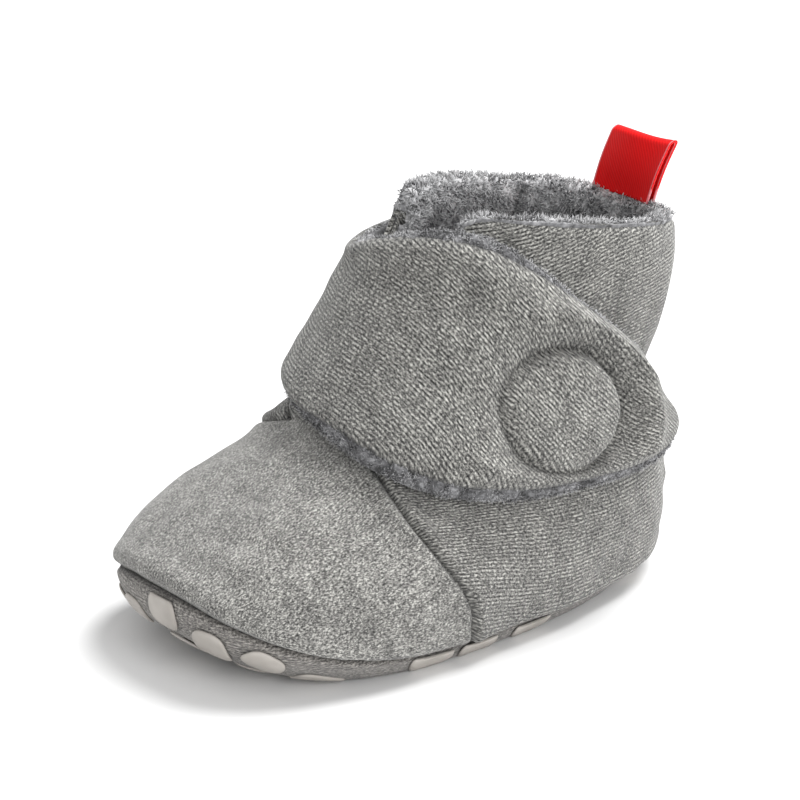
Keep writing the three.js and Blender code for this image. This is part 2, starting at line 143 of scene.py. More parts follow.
# %% The surface of the last
FOOT_PART = 0.6  # share of the way up that is foot, with spring and waist fading out over it
TOE_LIFT, HEEL_LIFT = 0.183, 0.35  # share of the length from the middle to where the sole lifts
WAIST_PLACE, WAIST_REACH = -0.06, 0.3  # of the length
SMALL_TURN, SMALL_RISE = 0.4, 0.004  # degrees and share: the steps that give a normal
HALVINGS = 26  # fine enough for a millionth of a millimetre


def mix(a, b, k):
    return a + (b - a) * k


def smooth(k):
    """0 to 1 with level ends."""
    k = np.clip(k, 0, 1)
    return k * k * (3 - 2 * k)


def bump(distance, width):
    """A round hill 1 high: a Gauss curve."""
    return np.exp(-((distance / width) ** 2))


def rolled(distance, radius):
    """Section of a rolled edge: a quarter circle that rises from 0 at the edge to 1."""
    k = np.clip(1 - distance / radius, 0, 1)
    return np.sqrt(1 - k**2)


def from_toe(angle):
    """The same angle between -180 and 180 degrees, with 0 at the toe."""
    return np.mod(angle + 180, 360) - 180


def section_at(share):
    """The section at each share of the way up: a smooth curve through the rows (Catmull-Rom)."""
    last = len(SECTIONS) - 1
    i = np.clip(np.floor(share * last).astype(int), 0, last - 1)
    k = (share * last - i)[..., None]
    a, b, c, d = (SECTIONS[np.clip(i + n, 0, last)] for n in (-1, 0, 1, 2))
    square, cube = 2 * a - 5 * b + 4 * c - d, 3 * b - a - 3 * c + d
    return 0.5 * (2 * b + (c - a) * k + square * k**2 + cube * k**3)


def spring_at(x):
    """Lift of the sole under toe and heel: the square of the way from where it leaves the floor."""
    toe = np.clip((x / LENGTH - TOE_LIFT) / (0.5 - TOE_LIFT), 0, 1.2)
    heel = np.clip((-x / LENGTH - HEEL_LIFT) / (0.5 - HEEL_LIFT), 0, 1.2)
    return TOE_SPRING * toe**2 + HEEL_SPRING * heel**2


def surface(angle, share):
    """A point of the last: a superellipse at that share of the way up, tilted about Y, with the
    inner side drawn in at the waist and the sole sprung up at toe and heel."""
    angle, share = np.broadcast_arrays(np.asarray(angle, float), np.asarray(share, float))
    s = section_at(share)
    c, d = np.cos(np.radians(angle)), np.sin(np.radians(angle))
    square = mix(s[..., 6], s[..., 7], 0.5 + 0.5 * np.clip(1.5 * c, -1, 1))
    along = np.sign(c) * np.abs(c) ** (2 / square)
    side = np.sign(d) * np.abs(d) ** (2 / square)
    k = 0.5 + 0.5 * along
    x = mix(s[..., 0], s[..., 2], k)
    fade = np.clip(1 - share / FOOT_PART, 0, 1)
    waist = ARCH * (1 - smooth(np.abs(x / LENGTH - WAIST_PLACE) / WAIST_REACH))
    y = side * mix(s[..., 4], s[..., 5], smooth(k)) + np.maximum(-side, 0) * waist * fade
    y = y - s[..., 8] * np.clip(along, 0, 1) ** 2
    z = mix(s[..., 1], s[..., 3], k) + spring_at(x) * fade
    return np.stack([x, y, z], axis=-1)


def unit(v):
    return v / np.maximum(np.linalg.norm(v, axis=-1, keepdims=True), 1e-9)


def normal_at(angle, share):
    """Outward normal: the cross product of a small step round and a small step up."""
    s = np.clip(share, SMALL_RISE, 1 - SMALL_RISE)
    round_step = surface(angle + SMALL_TURN, s) - surface(angle - SMALL_TURN, s)
    up_step = surface(angle, s + SMALL_RISE) - surface(angle, s - SMALL_RISE)
    return unit(np.cross(round_step, up_step))


def offset(angle, share, distance):
    """A point at a distance outside the last, along its normal."""
    return surface(angle, share) + normal_at(angle, share) * np.asarray(distance)[..., None]


def share_at_height(angle, height):
    """The share at which the foot reaches a height, found by halving."""
    low = np.zeros(np.broadcast(angle, height).shape)
    high = low + 0.5
    for _ in range(HALVINGS):
        middle = (low + high) / 2
        under = surface(angle, middle)[..., 2] < height
        low, high = np.where(under, middle, low), np.where(under, high, middle)
    return low


def seam_height(angle):
    """Height of the seam between sole and upper: level at the sides, risen over the toe."""
    towards_toe = np.clip(np.cos(np.radians(angle)), 0, 1)
    return mix(SEAM_HEIGHT, TOE_SEAM_HEIGHT, towards_toe**TOE_RISE_POWER)


print("rim at the heel, mm:", surface(180.0, 1.0).round(1))


# %% [markdown]
# ## Helpers
# Cloth is never quite even. Smooth noise moves it a little, and cell noise makes the tufts of
# fleece. Both are worked out from the place in space, so they are the same on every run. Pieces
# are grids of points. A helper welds the edges of a piece's grids to make one closed skin.

# %% Noise
def hashed(i, seed):
    """A repeatable number from 0 to 1 for each lattice point: its bits, multiplied and folded."""
    x, y, z = (i[..., n].astype(np.int64) & 0xFFFFFFFF for n in range(3))
    h = (x * 374761393 + y * 668265263 + z * 1442695041 + seed * 974634777) & 0xFFFFFFFF
    h = ((h ^ (h >> 13)) * 1274126177) & 0xFFFFFFFF
    return ((h ^ (h >> 16)) & 0xFFFFFF) / float(0xFFFFFF)


CORNERS = np.array(list(itertools.product((0, 1), repeat=3)))
NEIGHBOURS = np.array(list(itertools.product((-1, 0, 1), repeat=3)))


def noise(points, size, seed=0):
    """Smooth noise from -1 to 1: random values on a lattice, blended in between."""
    q = points / size
    cell = np.floor(q).astype(np.int64)
    f = smooth(q - cell)
    total = 0
    for corner in CORNERS:
        weight = np.prod(np.where(corner, f, 1 - f), axis=-1)
        total = total + weight * hashed(cell + corner, seed)
    return 2 * total - 1


def tufts(points, size, seed=0):
    """1 at the middle of each tuft and 0 between tufts: one minus the distance to the nearest of
    the random points, one in each cell of a lattice."""
    q = points / size
    cell = np.floor(q).astype(np.int64)
    nearest = np.full(q.shape[:-1], 9.0)
    for step in NEIGHBOURS:
        i = cell + step
        centre = i + np.stack([hashed(i, seed + n) for n in range(3)], axis=-1)
        nearest = np.minimum(nearest, np.linalg.norm(q - centre, axis=-1))
    return np.clip(1 - nearest, 0, 1)


# %% Grids to one closed mesh
WELD = 2e-3  # mm between points that count as one


def steps(places, counts):
    """Steps through the places in order, with so many points on each stretch."""
    parts = [np.linspace(a, b, n) for a, b, n in zip(places, places[1:], counts)]
    return np.concatenate([part[:-1] for part in parts[:-1]] + parts[-1:])


def length_along(points, axis):
    """Running length in mm along one axis of a grid."""
    step = np.linalg.norm(np.diff(points, axis=axis), axis=-1)
    start = np.zeros_like(step[:1] if axis == 0 else step[:, :1])
    return np.concatenate([start, np.cumsum(step, axis=axis)], axis=axis)


def cloth_uv(points):
    """UV in mm: u is the length along each row from the grid's middle column, v the length up
    each column from its middle row, so a knit drawn on it keeps its gauge."""
    around, up = length_along(points, 1), length_along(points, 0)
    row, column = points.shape[0] // 2, points.shape[1] // 2
    return np.stack([around - around[:, [column]], up - up[[row]]], axis=-1)


def add_mesh(name, points, faces, materials, values):
    """A smooth mesh object from points in mm, faces, and a number per point for each attribute."""
    mesh = bpy.data.meshes.new(name)
    mesh.from_pydata((points * MM).tolist(), [], faces)
    for attribute, numbers in values.items():
        column = mesh.attributes.new(attribute, "FLOAT", "POINT")
        column.data.foreach_set("value", numbers.astype(np.float32))
    for material in materials:
        mesh.materials.append(material)
    mesh.polygons.foreach_set("use_smooth", np.ones(len(faces), bool))
    mesh.update()
    return add_object(name, mesh)


def make_piece(name, patches, materials, attributes=()):
    """One mesh from several grids. Each patch is a dictionary: points (rows, columns, 3) in mm,
    uv, material number, and a grid for each attribute. Equal points are welded, and quads that
    this closes to a triangle or a line lose the doubled corner."""
    def gathered(key, default, less=0):
        """A value at each point of all patches, or at each cell if less is 1."""
        shapes = [[n - less for n in patch["points"].shape[:2]] for patch in patches]
        values = [np.broadcast_to(p.get(key, default), n) for p, n in zip(patches, shapes)]
        return np.concatenate([value.ravel() for value in values])

    points, uvs, corners, start = [], [], [], 0
    for patch in patches:
        grid, uv = patch["points"], patch.get("uv")
        ids = start + np.arange(grid[..., 0].size).reshape(grid.shape[:2])
        quad = np.stack([ids[:-1, :-1], ids[:-1, 1:], ids[1:, 1:], ids[1:, :-1]], axis=-1)
        quad = quad.reshape(-1, 4)
        corners.append(quad[:, ::-1] if patch.get("flip") else quad)
        points.append(grid.reshape(-1, 3))
        uvs.append((cloth_uv(grid) if uv is None else uv).reshape(-1, 2))
        start += ids.size
    points, uvs, corners = np.concatenate(points), np.concatenate(uvs), np.concatenate(corners)
    numbers = gathered("material", 0, 1)
    _, first, welded = np.unique(
        np.round(points / WELD).astype(np.int64), axis=0, return_index=True, return_inverse=True
    )
    faces = welded.reshape(-1)[corners]
    doubled = faces == np.roll(faces, 1, axis=1)
    crossed = (faces[:, 0] == faces[:, 2]) | (faces[:, 1] == faces[:, 3])
    whole = ~doubled.any(axis=1) & ~crossed
    three = (doubled.sum(axis=1) == 1) & ~crossed
    triangle = ~doubled[three]
    face_list = faces[whole].tolist() + faces[three][triangle].reshape(-1, 3).tolist()
    loops = np.concatenate([corners[whole].reshape(-1), corners[three][triangle]])
    values = {a: gathered(a, 0.0)[first] for a in attributes}
    piece = add_mesh(name, points[first], face_list, materials, values)
    mesh = piece.data
    layer = mesh.uv_layers.new(name="cloth")
    layer.data.foreach_set("uv", uvs[loops].astype(np.float32).ravel())
    order = np.concatenate([numbers[whole], numbers[three]]).astype(np.int32)
    mesh.polygons.foreach_set("material_index", order)
    print(f"{name}: {len(face_list)} faces, {open_edges(mesh)} open edges")
    return piece


def open_edges(mesh):
    """How many edges aren't shared by two faces that wind the same way: none on a closed skin."""
    work = bmesh.new()
    work.from_mesh(mesh)
    loose = sum(not edge.is_contiguous for edge in work.edges)
    work.free()
    return loose


def skin_between(front, back):
    """The patch that closes the gap between two edges, each a row of points."""
    return {"points": np.stack([front, back])}


def closed_sheet(face, back, back_uv=None, **values):
    """The patches of a closed sheet: face, back and a strip along each edge. values are the
    face's own."""
    return [
        {"points": face, "flip": True, **values},
        {"points": back, "uv": back_uv},
        skin_between(back[:, 0], face[:, 0]),
        skin_between(face[:, -1], back[:, -1]),
        skin_between(face[0], back[0]),
        skin_between(back[-1], face[-1]),
    ]


# %% [markdown]
# ## Materials
# Each finish starts from what the cloth is. One helper adds a node with its settings and its
# inputs, which are numbers or the outputs of other nodes. The helpers after it add the kinds of
# node that come back often.

# %% Node and colour helpers
def connect(made, inputs):
    """Sets a node's inputs, by socket name or number: a value, or the output of another node."""
    for socket, value in inputs.items():
        if isinstance(value, bpy.types.NodeSocket):
            made.id_data.links.new(value, made.inputs[socket])
        else:
            made.inputs[socket].default_value = value


def node(material, kind, inputs, output=0, **settings):
    """Adds a node to a material and gives one of its outputs."""
    made = material.node_tree.nodes.new("ShaderNode" + kind)
    for name, value in settings.items():
        setattr(made, name, value)
    connect(made, inputs)
    return made.outputs[output]


def calc(material, operation, *inputs, kind="Math"):
    """A step of arithmetic on numbers, or on vectors if kind is VectorMath."""
    return node(material, kind, dict(enumerate(inputs)), operation=operation)


def scaled(material, vector, by):
    return node(material, "VectorMath", {0: vector, "Scale": by}, operation="SCALE")


def place_in_space(material):
    return node(material, "TexCoord", {}, "Object")


def speckle(material, place, scale, detail, output=0, **more):
    """Noise from 0 to 1, with so many patches to a unit of length."""
    return node(
        material, "TexNoise", {"Vector": place, "Scale": scale, "Detail": detail, **more}, output
    )


def relief(material, height, strength, depth, **normal):
    """The normal of a surface whose height of 0 to 1 stands for a depth in mm."""
    inputs = {"Height": height, "Strength": strength, "Distance": depth * MM, **normal}
    return node(material, "Bump", inputs)


def attribute(material, name):
    return node(material, "Attribute", {}, "Fac", attribute_name=name)


def colour(hex_value):
    """Linear RGBA of an sRGB hex value such as '8f8f8c'."""
    parts = [int(hex_value[i : i + 2], 16) / 255 for i in (0, 2, 4)]
    linear = [p / 12.92 if p <= 0.04045 else ((p + 0.055) / 1.055) ** 2.4 for p in parts]
    return (*linear, 1.0)


def ramp(material, factor, stops):
    """A colour ramp through (place, hex) stops."""
    made = node(material, "ValToRGB", {"Fac": factor})
    elements = made.node.color_ramp.elements
    while len(elements) < len(stops):
        elements.new(0.5)
    for element, (place, hex_value) in zip(elements, stops):
        element.position, element.color = place, colour(hex_value)
    return made


def new_material(name):
    made = bpy.data.materials.new(name)
    made.use_nodes = True
    return made


def cover(material, inputs):
    """Sets the inputs of the material's own shader."""
    connect(material.node_tree.nodes["Principled BSDF"], inputs)
    return material


# %% [markdown]
# ### Marl jersey
# Marl is spun from dark and light fibres together, so every loop of the knit is flecked. Jersey
# is a weft knit: columns of V-shaped loops, the wales, about 0.75 mm apart. The wales stand up as
# fine ribs. A ping-pong wave across the wales makes the ribs, a cosine along them that leans with
# the rib makes the V of each loop, and noise stretched along the ribs makes the flecks.

# %% Marl jersey
WALE = 0.78  # mm between ribs
COURSE = 0.66  # mm between loops along a rib
V_LEAN = 0.6  # how far the arms of the V run along the rib, in loops
DRIFT_SCALE, DRIFT = 0.16, 0.6  # per mm, and mm that the ribs wander
CLOUD_SCALE, CLOUD = 0.22, 0.15  # per mm, and how much the tone of the yarn wanders
FUZZ_SCALE = 3.2  # per mm
FLECK = 0.2  # mm, the width of a light or dark fleck
FLECK_LENGTH = 1.7  # of its width


def marl_jersey(name, stops, rib=1.0, fleck=FLECK, fleck_length=FLECK_LENGTH, on_last=False):
    """A jersey material. stops are the fleck colours, rib the strength of the ribs and of the
    painted shade in their valleys, fleck and fleck_length the size of the flecks. on_last takes the
    place in space in mm, for cloth that is pulled over a form in all directions."""
    cloth = new_material(name)
    if on_last:
        uv = scaled(cloth, place_in_space(cloth), 1 / MM)
    else:
        uv = node(cloth, "UVMap", {}, uv_map="cloth")
    drift = speckle(cloth, uv, DRIFT_SCALE, 1.0, "Color")
    pull = calc(cloth, "SUBTRACT", drift, (0.5, 0.5, 0.5), kind="VectorMath")
    moved = calc(cloth, "MULTIPLY_ADD", pull, (DRIFT, DRIFT, 0.0), uv, kind="VectorMath")
    along = node(cloth, "SeparateXYZ", {"Vector": moved})
    across = calc(cloth, "PINGPONG", along.node.outputs["Y"], WALE / 2)
    side = calc(cloth, "MULTIPLY", across, 2 / WALE)
    lean = calc(cloth, "MULTIPLY_ADD", side, COURSE * V_LEAN, along)
    wave = calc(cloth, "COSINE", calc(cloth, "MULTIPLY", lean, 2 * math.pi / COURSE))
    hole = calc(cloth, "MULTIPLY_ADD", wave, 0.25, 0.75)
    valley = calc(cloth, "MULTIPLY", calc(cloth, "POWER", side, 2.0), hole)
    knit = calc(cloth, "SUBTRACT", 1.0, valley)
    stretched = calc(cloth, "MULTIPLY", moved, (1 / fleck_length, 1.0, 1.0), kind="VectorMath")
    flecks = speckle(cloth, stretched, 0.5 / fleck, 3.0, Roughness=0.7)
    cloud = speckle(cloth, uv, CLOUD_SCALE, 3.0)
    yarn = ramp(cloth, calc(cloth, "MULTIPLY_ADD", cloud, CLOUD, flecks), stops)
    # The valleys between the ribs, deepest at the holes between loops, are painted darker in the
    # yarn's colour: painted shade, as deep as rib sets.
    darkest = 0.9 - 0.87 * rib
    shade = node(cloth, "MapRange", {"Value": knit, "To Min": darkest, "To Max": 0.92})
    # The attribute darkens the yarn in seam valleys, at turned edges and round the stitched ring:
    # painted shade.
    seam_shade_range = {"Value": attribute(cloth, "seam"), "To Min": 1.0, "To Max": 0.42}
    tint = scaled(cloth, scaled(cloth, yarn, shade), node(cloth, "MapRange", seam_shade_range))
    fuzz = speckle(cloth, uv, FUZZ_SCALE, 3.0)
    ribs = relief(cloth, knit, 0.75 * rib, 0.28)
    look = {
        "Base Color": tint,
        "Normal": relief(cloth, fuzz, 0.6, 0.22, Normal=ribs),
        "Roughness": 0.96,
        "IOR": 1.46,
        "Specular IOR Level": 0.25,
        "Sheen Weight": 0.22,
        "Sheen Roughness": 0.55,
    }
    return cover(cloth, look)


UPPER_STOPS = [(0.41, "1c1c1b"), (0.53, "656462"), (0.63, "9a9994"), (0.75, "d2d1cb")]
jersey = marl_jersey("marl_jersey_ribbed", UPPER_STOPS)
VAMP_STOPS = [(0.40, "262625"), (0.53, "656462"), (0.63, "94938f"), (0.74, "cbcac4")]
vamp_jersey = marl_jersey("marl_jersey_brushed", VAMP_STOPS, 0.3, 0.15, 1.9, on_last=True)
SOLE_STOPS = [(0.38, "2c2a29"), (0.54, "6a6764"), (0.70, "ada9a3")]
sole_jersey = marl_jersey("marl_jersey_sole", SOLE_STOPS, rib=0.6)
print("jersey: wales", WALE, "mm apart, courses", COURSE, "mm")

# %% [markdown]
# ### Fleece, grip spots and ribbon
# Coral fleece is a brushed polyester pile about 2 mm deep: its tufts are dark at the roots, where
# no light gets in, and pale at the tips. The grip spots are silicone, printed on and cured, so
# they are smooth and a little glossy. The label is a woven satin ribbon with a hard selvage.

# %% Fleece, coloured from root to tip by the attribute 'pile'
FLEECE_STOPS = [(0.1, "1a1a1b"), (0.3667, "4a4a4b"), (0.6333, "808082"), (0.9, "bababb")]
fleece = new_material("coral_fleece")
grain = speckle(fleece, place_in_space(fleece), 1100.0, 3.0)
height_in_pile = calc(fleece, "MULTIPLY_ADD", grain, 0.55, attribute(fleece, "pile"))
fleece_look = {
    "Base Color": ramp(fleece, height_in_pile, FLEECE_STOPS),
    "Normal": relief(fleece, grain, 0.8, 0.35),
    "Roughness": 1.0,
    "Specular IOR Level": 0.15,
    "Sheen Weight": 0.2,
    "Sheen Roughness": 0.5,
}
cover(fleece, fleece_look)

# %% Silicone grip spots
silicone = new_material("printed_silicone")
silicone_place = place_in_space(silicone)
silicone_cloud = speckle(silicone, silicone_place, 160.0, 2.0)
silicone_look = {
    "Base Color": ramp(silicone, silicone_cloud, [(0.3, "9e9993"), (0.7, "b2ada7")]),
    "Normal": relief(silicone, speckle(silicone, silicone_place, 1500.0, 1.0), 0.35, 0.1),
    "Roughness": 0.55,
    "IOR": 1.41,
}
cover(silicone, silicone_look)

# %% Satin ribbon
RIBBON_WIDTH = 25.0  # mm
SELVAGE = 0.7  # mm of paler edge
ribbon = new_material("woven_satin_ribbon")
ribbon_uv = node(ribbon, "UVMap", {}, uv_map="cloth")
from_middle = calc(ribbon, "ABSOLUTE", node(ribbon, "SeparateXYZ", {"Vector": ribbon_uv}))
selvage = {
    "Value": from_middle,
    "From Min": RIBBON_WIDTH / 2 - SELVAGE,
    "From Max": RIBBON_WIDTH / 2 - SELVAGE / 2,
}
weave_inputs = {"Vector": ribbon_uv, "Scale": 0.55, "Distortion": 0.6, "Detail": 1.0}
weave = node(ribbon, "TexWave", weave_inputs, "Fac", bands_direction="DIAGONAL")
ribbon_tones = {
    0: node(ribbon, "MapRange", selvage),
    6: ramp(ribbon, weave, [(0.0, "dd0e10"), (1.0, "ee191b")]),
    7: colour("f08a90"),
}
ribbon_look = {
    "Base Color": node(ribbon, "Mix", ribbon_tones, 2, data_type="RGBA"),
    "Normal": relief(ribbon, weave, 0.4, 0.08),
    "Roughness": 0.6,
    "Specular IOR Level": 0.15,
}
cover(ribbon, ribbon_look)
print("materials:", len(bpy.data.materials))

# %% [markdown]
# ## The upper
# The upper is cut as a vamp over the toes and two quarters round the heel, sewn face to face, so
# the seam is a narrow valley with the quarter rolling over it. Jersey and fleece are two layers.
# Each is a closed sheet: one grid for its face, one for its back, and strips round the edges. The
# columns of the grid bend to follow the seam, so the valley stays sharp on a modest mesh.

# %% Grid of the wall
THROAT_SHARE, THROAT_ANGLE = 0.64, 9.0  # the closed throat ends here and opens above
OUTER_EDGE, INNER_EDGE, INNER_EDGE_BOW = 30.0, -56.0, 0.6
OUTER_CORNER, INNER_CORNER = (20, 0.05), (30, 0.08)  # degrees and share of the round corners
SEAM_SIDE = 84.0  # degrees from the toe to the vamp seam, low on the foot
SEAM_STRAIGHT = 0.17  # share where it starts to curve forward
SEAM_POWER = {1: 2.0, -1: 3.3}  # how it curves on the outer and the inner side
OUTER_COLUMN = (SEAM_SIDE - THROAT_ANGLE) / 360
INNER_COLUMN = (360 - SEAM_SIDE - THROAT_ANGLE) / 360
PULL = 0.2  # how far behind the seam the columns are bent, as a share of the round
PULL_TOP, PULL_FADE = 0.585, 0.04  # share above which they run straight again
SEAM_BAND = 0.012  # share of the round on each side of a seam that has narrow columns
SHAFT_MM = 92.0  # mm of shaft for a whole share


def vamp_seam(share, side):
    """Angle of the seam at a share: straight up from the sole, then curving to the throat."""
    k = np.clip((share - SEAM_STRAIGHT) / (THROAT_SHARE - SEAM_STRAIGHT), 0, 1)
    return mix(side * SEAM_SIDE, THROAT_ANGLE, k ** SEAM_POWER[side])


def tent(c, low, top, high):
    """0 outside low to high and 1 at top, with straight sides."""
    return np.clip(np.minimum((c - low) / (top - low), (high - c) / (high - top)), 0, 1)


def rim_share(from_outer, from_inner):
    """The rim as a share of the way up: it dips in a quarter round at the two front corners."""
    corners = ((from_outer, OUTER_CORNER), (from_inner, INNER_CORNER))
    outer, inner = (dip * (1 - rolled(away, reach)) for away, (reach, dip) in corners)
    return 1 - outer - inner


def wall_at(column, row, lowered=0.0):
    """Angle and share on the wall. column runs once round from the throat. row 0 is the sole
    seam, 1 the foot of the throat and 2 the rim, which lowered brings down by mm."""
    natural = THROAT_ANGLE + 360 * column
    foot, shaft = np.clip(row, 0, 1), np.clip(row - 1, 0, 1)
    share = mix(seam_share(natural), THROAT_SHARE, foot)
    near = 1 - smooth((share - PULL_TOP) / PULL_FADE)
    outer = tent(column, 0, OUTER_COLUMN, OUTER_COLUMN + PULL)
    inner = tent(column, INNER_COLUMN - PULL, INNER_COLUMN, 1)
    angle = natural + near * outer * (vamp_seam(share, 1) - SEAM_SIDE)
    angle = angle + near * inner * (vamp_seam(share, -1) + SEAM_SIDE)
    front = mix(THROAT_ANGLE, OUTER_EDGE, shaft)
    back = mix(THROAT_ANGLE, INNER_EDGE, shaft**INNER_EDGE_BOW) + 360
    over = mix(front, back, column)
    rim = rim_share(over - front, back - over) - lowered / SHAFT_MM
    above = row > 1
    return np.where(above, over, angle), np.where(above, mix(THROAT_SHARE, rim, shaft), share)


ROUND_TABLE = np.linspace(0, 360, 361)
SEAM_TABLE = share_at_height(ROUND_TABLE, seam_height(ROUND_TABLE))


def seam_share(angle):
    return np.interp(np.mod(angle, 360), ROUND_TABLE, SEAM_TABLE)


seam_columns = [c + s for c in (OUTER_COLUMN, INNER_COLUMN) for s in (-SEAM_BAND, SEAM_BAND)]
columns = steps([0, *seam_columns, 1], [52, 15, 186, 15, 58])
print("columns round the upper:", len(columns))

# %% Distances on the cloth
UV_DEGREES, UV_ROWS = 380, 160  # the table has an entry for each degree, past one round
UV_ANGLES, UV_SHARES = np.linspace(0, UV_DEGREES, UV_DEGREES + 1), np.linspace(0, 1, UV_ROWS + 1)
UV_TABLE = cloth_uv(surface(UV_ANGLES[None, :], UV_SHARES[:, None]))


def cloth_on_last(angle, share):
    """UV in mm at places on the last, read between the entries of a table of its lengths."""
    i, j = np.clip(share * UV_ROWS, 0, UV_ROWS - 0.01), np.clip(angle, 0, UV_DEGREES - 0.01)
    row, column = i.astype(int), j.astype(int)
    a, b, c, d = (UV_TABLE[row + m, column + n] for m in (0, 1) for n in (0, 1))
    k = (j - column)[..., None]
    return mix(mix(a, b, k), mix(c, d, k), (i - row)[..., None])


def distance_to_line(points, line):
    """Least distance in mm from each point to the points of a finely divided line."""
    nearest = np.full(points.shape[:-1], 1e9)
    for p in line:
        nearest = np.minimum(nearest, ((points - p) ** 2).sum(-1))
    return np.sqrt(nearest)


def line_on_last(angle0, share0, angle1, share1, count):
    k = np.linspace(0, 1, count)
    return surface(mix(angle0, angle1, k), mix(share0, share1, k))


def hills(distance, profile):
    """Height over a line at a distance from it: the sum of hills and troughs."""
    return sum(height * bump(distance - place, width) for height, place, width in profile)


seam_steps = np.linspace(0.03, 0.625, 260)  # shares, from the sole's seam to under the strap
SEAM_LINES = {s: surface(vamp_seam(seam_steps, s), seam_steps) for s in (1, -1)}

# %% [markdown]
# ### Gathers, seams and creases
# The elastic pulls the ankle in, and the cloth that is too wide for it stands in puffs with sharp
# little pleats between. A puff is the top of a sine, folded up so that its foot is sharp. Creases
# that belong to this shoe are listed one by one: each is a line from one place on the last to
# another with a width and a height, below zero for a trough.

# %% Relief of the upper
GATHER_SHARE, GATHER_REACH = 0.598, 0.017  # where the elastic lies
GATHER_DEPTH, PUFF_ABOVE, PUFF_BELOW = 2.6, 1.9, 1.2  # mm
PUFFS = 31  # round the whole ankle
SEAM_TOP = 0.6  # share at which the vamp seam ends under the strap
FOOT_MM = 70  # mm of foot for a whole share
# height, place and width in mm of the hills and troughs across a seam
VAMP_SEAM_PROFILE = [
    (-1.25, -0.1, 0.5),
    (0.55, 1.5, 1.3),
    (0.35, 4.0, 4.0),
    (0.15, -1.6, 1.0),
    (-0.25, -5.0, 5.0),
]
SOLE_SEAM_PROFILE = [(-1.1, 0.0, 0.7), (0.8, 2.6, 2.2)]
# angle and share at one end, the same at the other end, width mm, height mm
UPPER_CREASES = [
    (150, 0.30, 118, 0.52, 7.0, -0.9),
    (112, 0.20, 96, 0.40, 6.0, -0.7),
    (128, 0.12, 134, 0.34, 6.0, 0.6),
    (178, 0.15, 172, 0.45, 8.0, -0.5),
    (205, 0.22, 214, 0.48, 7.0, -0.8),
    (236, 0.16, 244, 0.42, 7.0, 0.6),
    (262, 0.20, 258, 0.44, 6.0, -0.7),
    (60, 0.20, 48, 0.40, 6.0, -0.6),
    (30, 0.24, 18, 0.44, 7.0, 0.5),
    (-14, 0.22, -10, 0.42, 7.0, -0.5),
    (-44, 0.22, -34, 0.42, 7.0, 0.5),
    (60, 0.13, -50, 0.13, 3.0, 0.5),
    (-20, 0.37, 30, 0.30, 3.0, -0.4),
    (-26, 0.31, 22, 0.24, 2.8, 0.35),
    (4, 0.41, 38, 0.37, 2.8, -0.35),
    (70, 0.72, 112, 0.80, 6.0, -0.7),
    (120, 0.70, 158, 0.76, 7.0, 0.7),
    (150, 0.80, 196, 0.72, 6.0, -0.7),
    (206, 0.90, 236, 0.74, 7.0, -0.8),
    (250, 0.86, 276, 0.72, 7.0, 0.7),
    (168, 0.92, 140, 0.88, 6.0, 0.5),
]


CREASE_POINTS, CREASE_FADES = 24, (0, 18)  # points of a line, and those where it is faint


def crease_relief(points, creases):
    """Soft troughs and ridges along listed lines, faint at two places."""
    height = 0
    for *ends, width, rise in creases:
        line = line_on_last(*ends, CREASE_POINTS)
        away = [np.linalg.norm(points - line[n], axis=-1) for n in CREASE_FADES]
        fade = smooth(0.35 + np.minimum(*away) / width)
        height = height + rise * bump(distance_to_line(points, line), width) * fade
    return height


def wall_relief(angle, share):
    """Height in mm of the cloth over the last, and how much painted shade it gets in the valley of
    a seam, 0 to 1.
    """
    points = surface(angle, share)
    around = smooth(0.75 - np.cos(np.radians(angle)))
    from_waist = share - GATHER_SHARE
    phase = angle / 360 * PUFFS + 0.5 * noise(points, 11.0, 3)
    puff = np.abs(np.sin(math.pi * phase)) ** 0.7
    size = 1 + 0.5 * noise(points, 17.0, 4)
    groove = GATHER_DEPTH * bump(from_waist, GATHER_REACH)
    above = PUFF_ABOVE * bump(from_waist - 0.034, 0.034) * size
    below = PUFF_BELOW * bump(from_waist + 0.05, 0.05) * size
    gather = around * ((puff - 0.45) * above + (puff - 0.62) * below - groove)
    # Painted shade, 0 to 1, in the valleys of the vamp seams and the sole seam.
    seam = np.zeros(points.shape[:-1])
    height = gather + crease_relief(points, UPPER_CREASES)
    open_seam = 1 - smooth((share - SEAM_TOP) / 0.02)
    for side in (1, -1):
        quarter = side * (from_toe(angle) - vamp_seam(share, side)) > 0
        away = np.where(quarter, 1.0, -1.0) * distance_to_line(points, SEAM_LINES[side])
        height = height + open_seam * hills(away, VAMP_SEAM_PROFILE)
        seam = np.maximum(seam, open_seam * bump(away + 0.15, 0.42))
    up = (share - seam_share(angle)) * FOOT_MM
    height = height + hills(up, SOLE_SEAM_PROFILE)
    seam = np.maximum(seam, bump(up, 0.6))
    height = height + 0.35 * noise(points, 13.0, 1) + 0.14 * noise(points, 4.5, 2)
    return height, seam


# %% Jersey of the upper
JERSEY = 1.2  # mm thick
PLAY = 0.15  # mm between layers
TRIM_SIDE, TRIM_BACK = 0.5, 3.2  # mm from the rim down to the jersey's edge
EDGE_TURN = -1.1, 0.9  # mm, height and width of the dip where the jersey's edge is turned in


def trim_at(angle):
    """How far the jersey stops under the rim: more at the heel, where the lining rolls over."""
    return mix(TRIM_SIDE, TRIM_BACK, smooth((np.abs(from_toe(angle)) - 130) / 45))


def wall_grid(row_steps, lowered=0.0):
    return wall_at(*np.meshgrid(columns, row_steps), lowered)


def slit(grid, rows, column):
    """The edge of a grid along the open throat, from the rim down."""
    return grid[rows > 0.999, column][::-1]


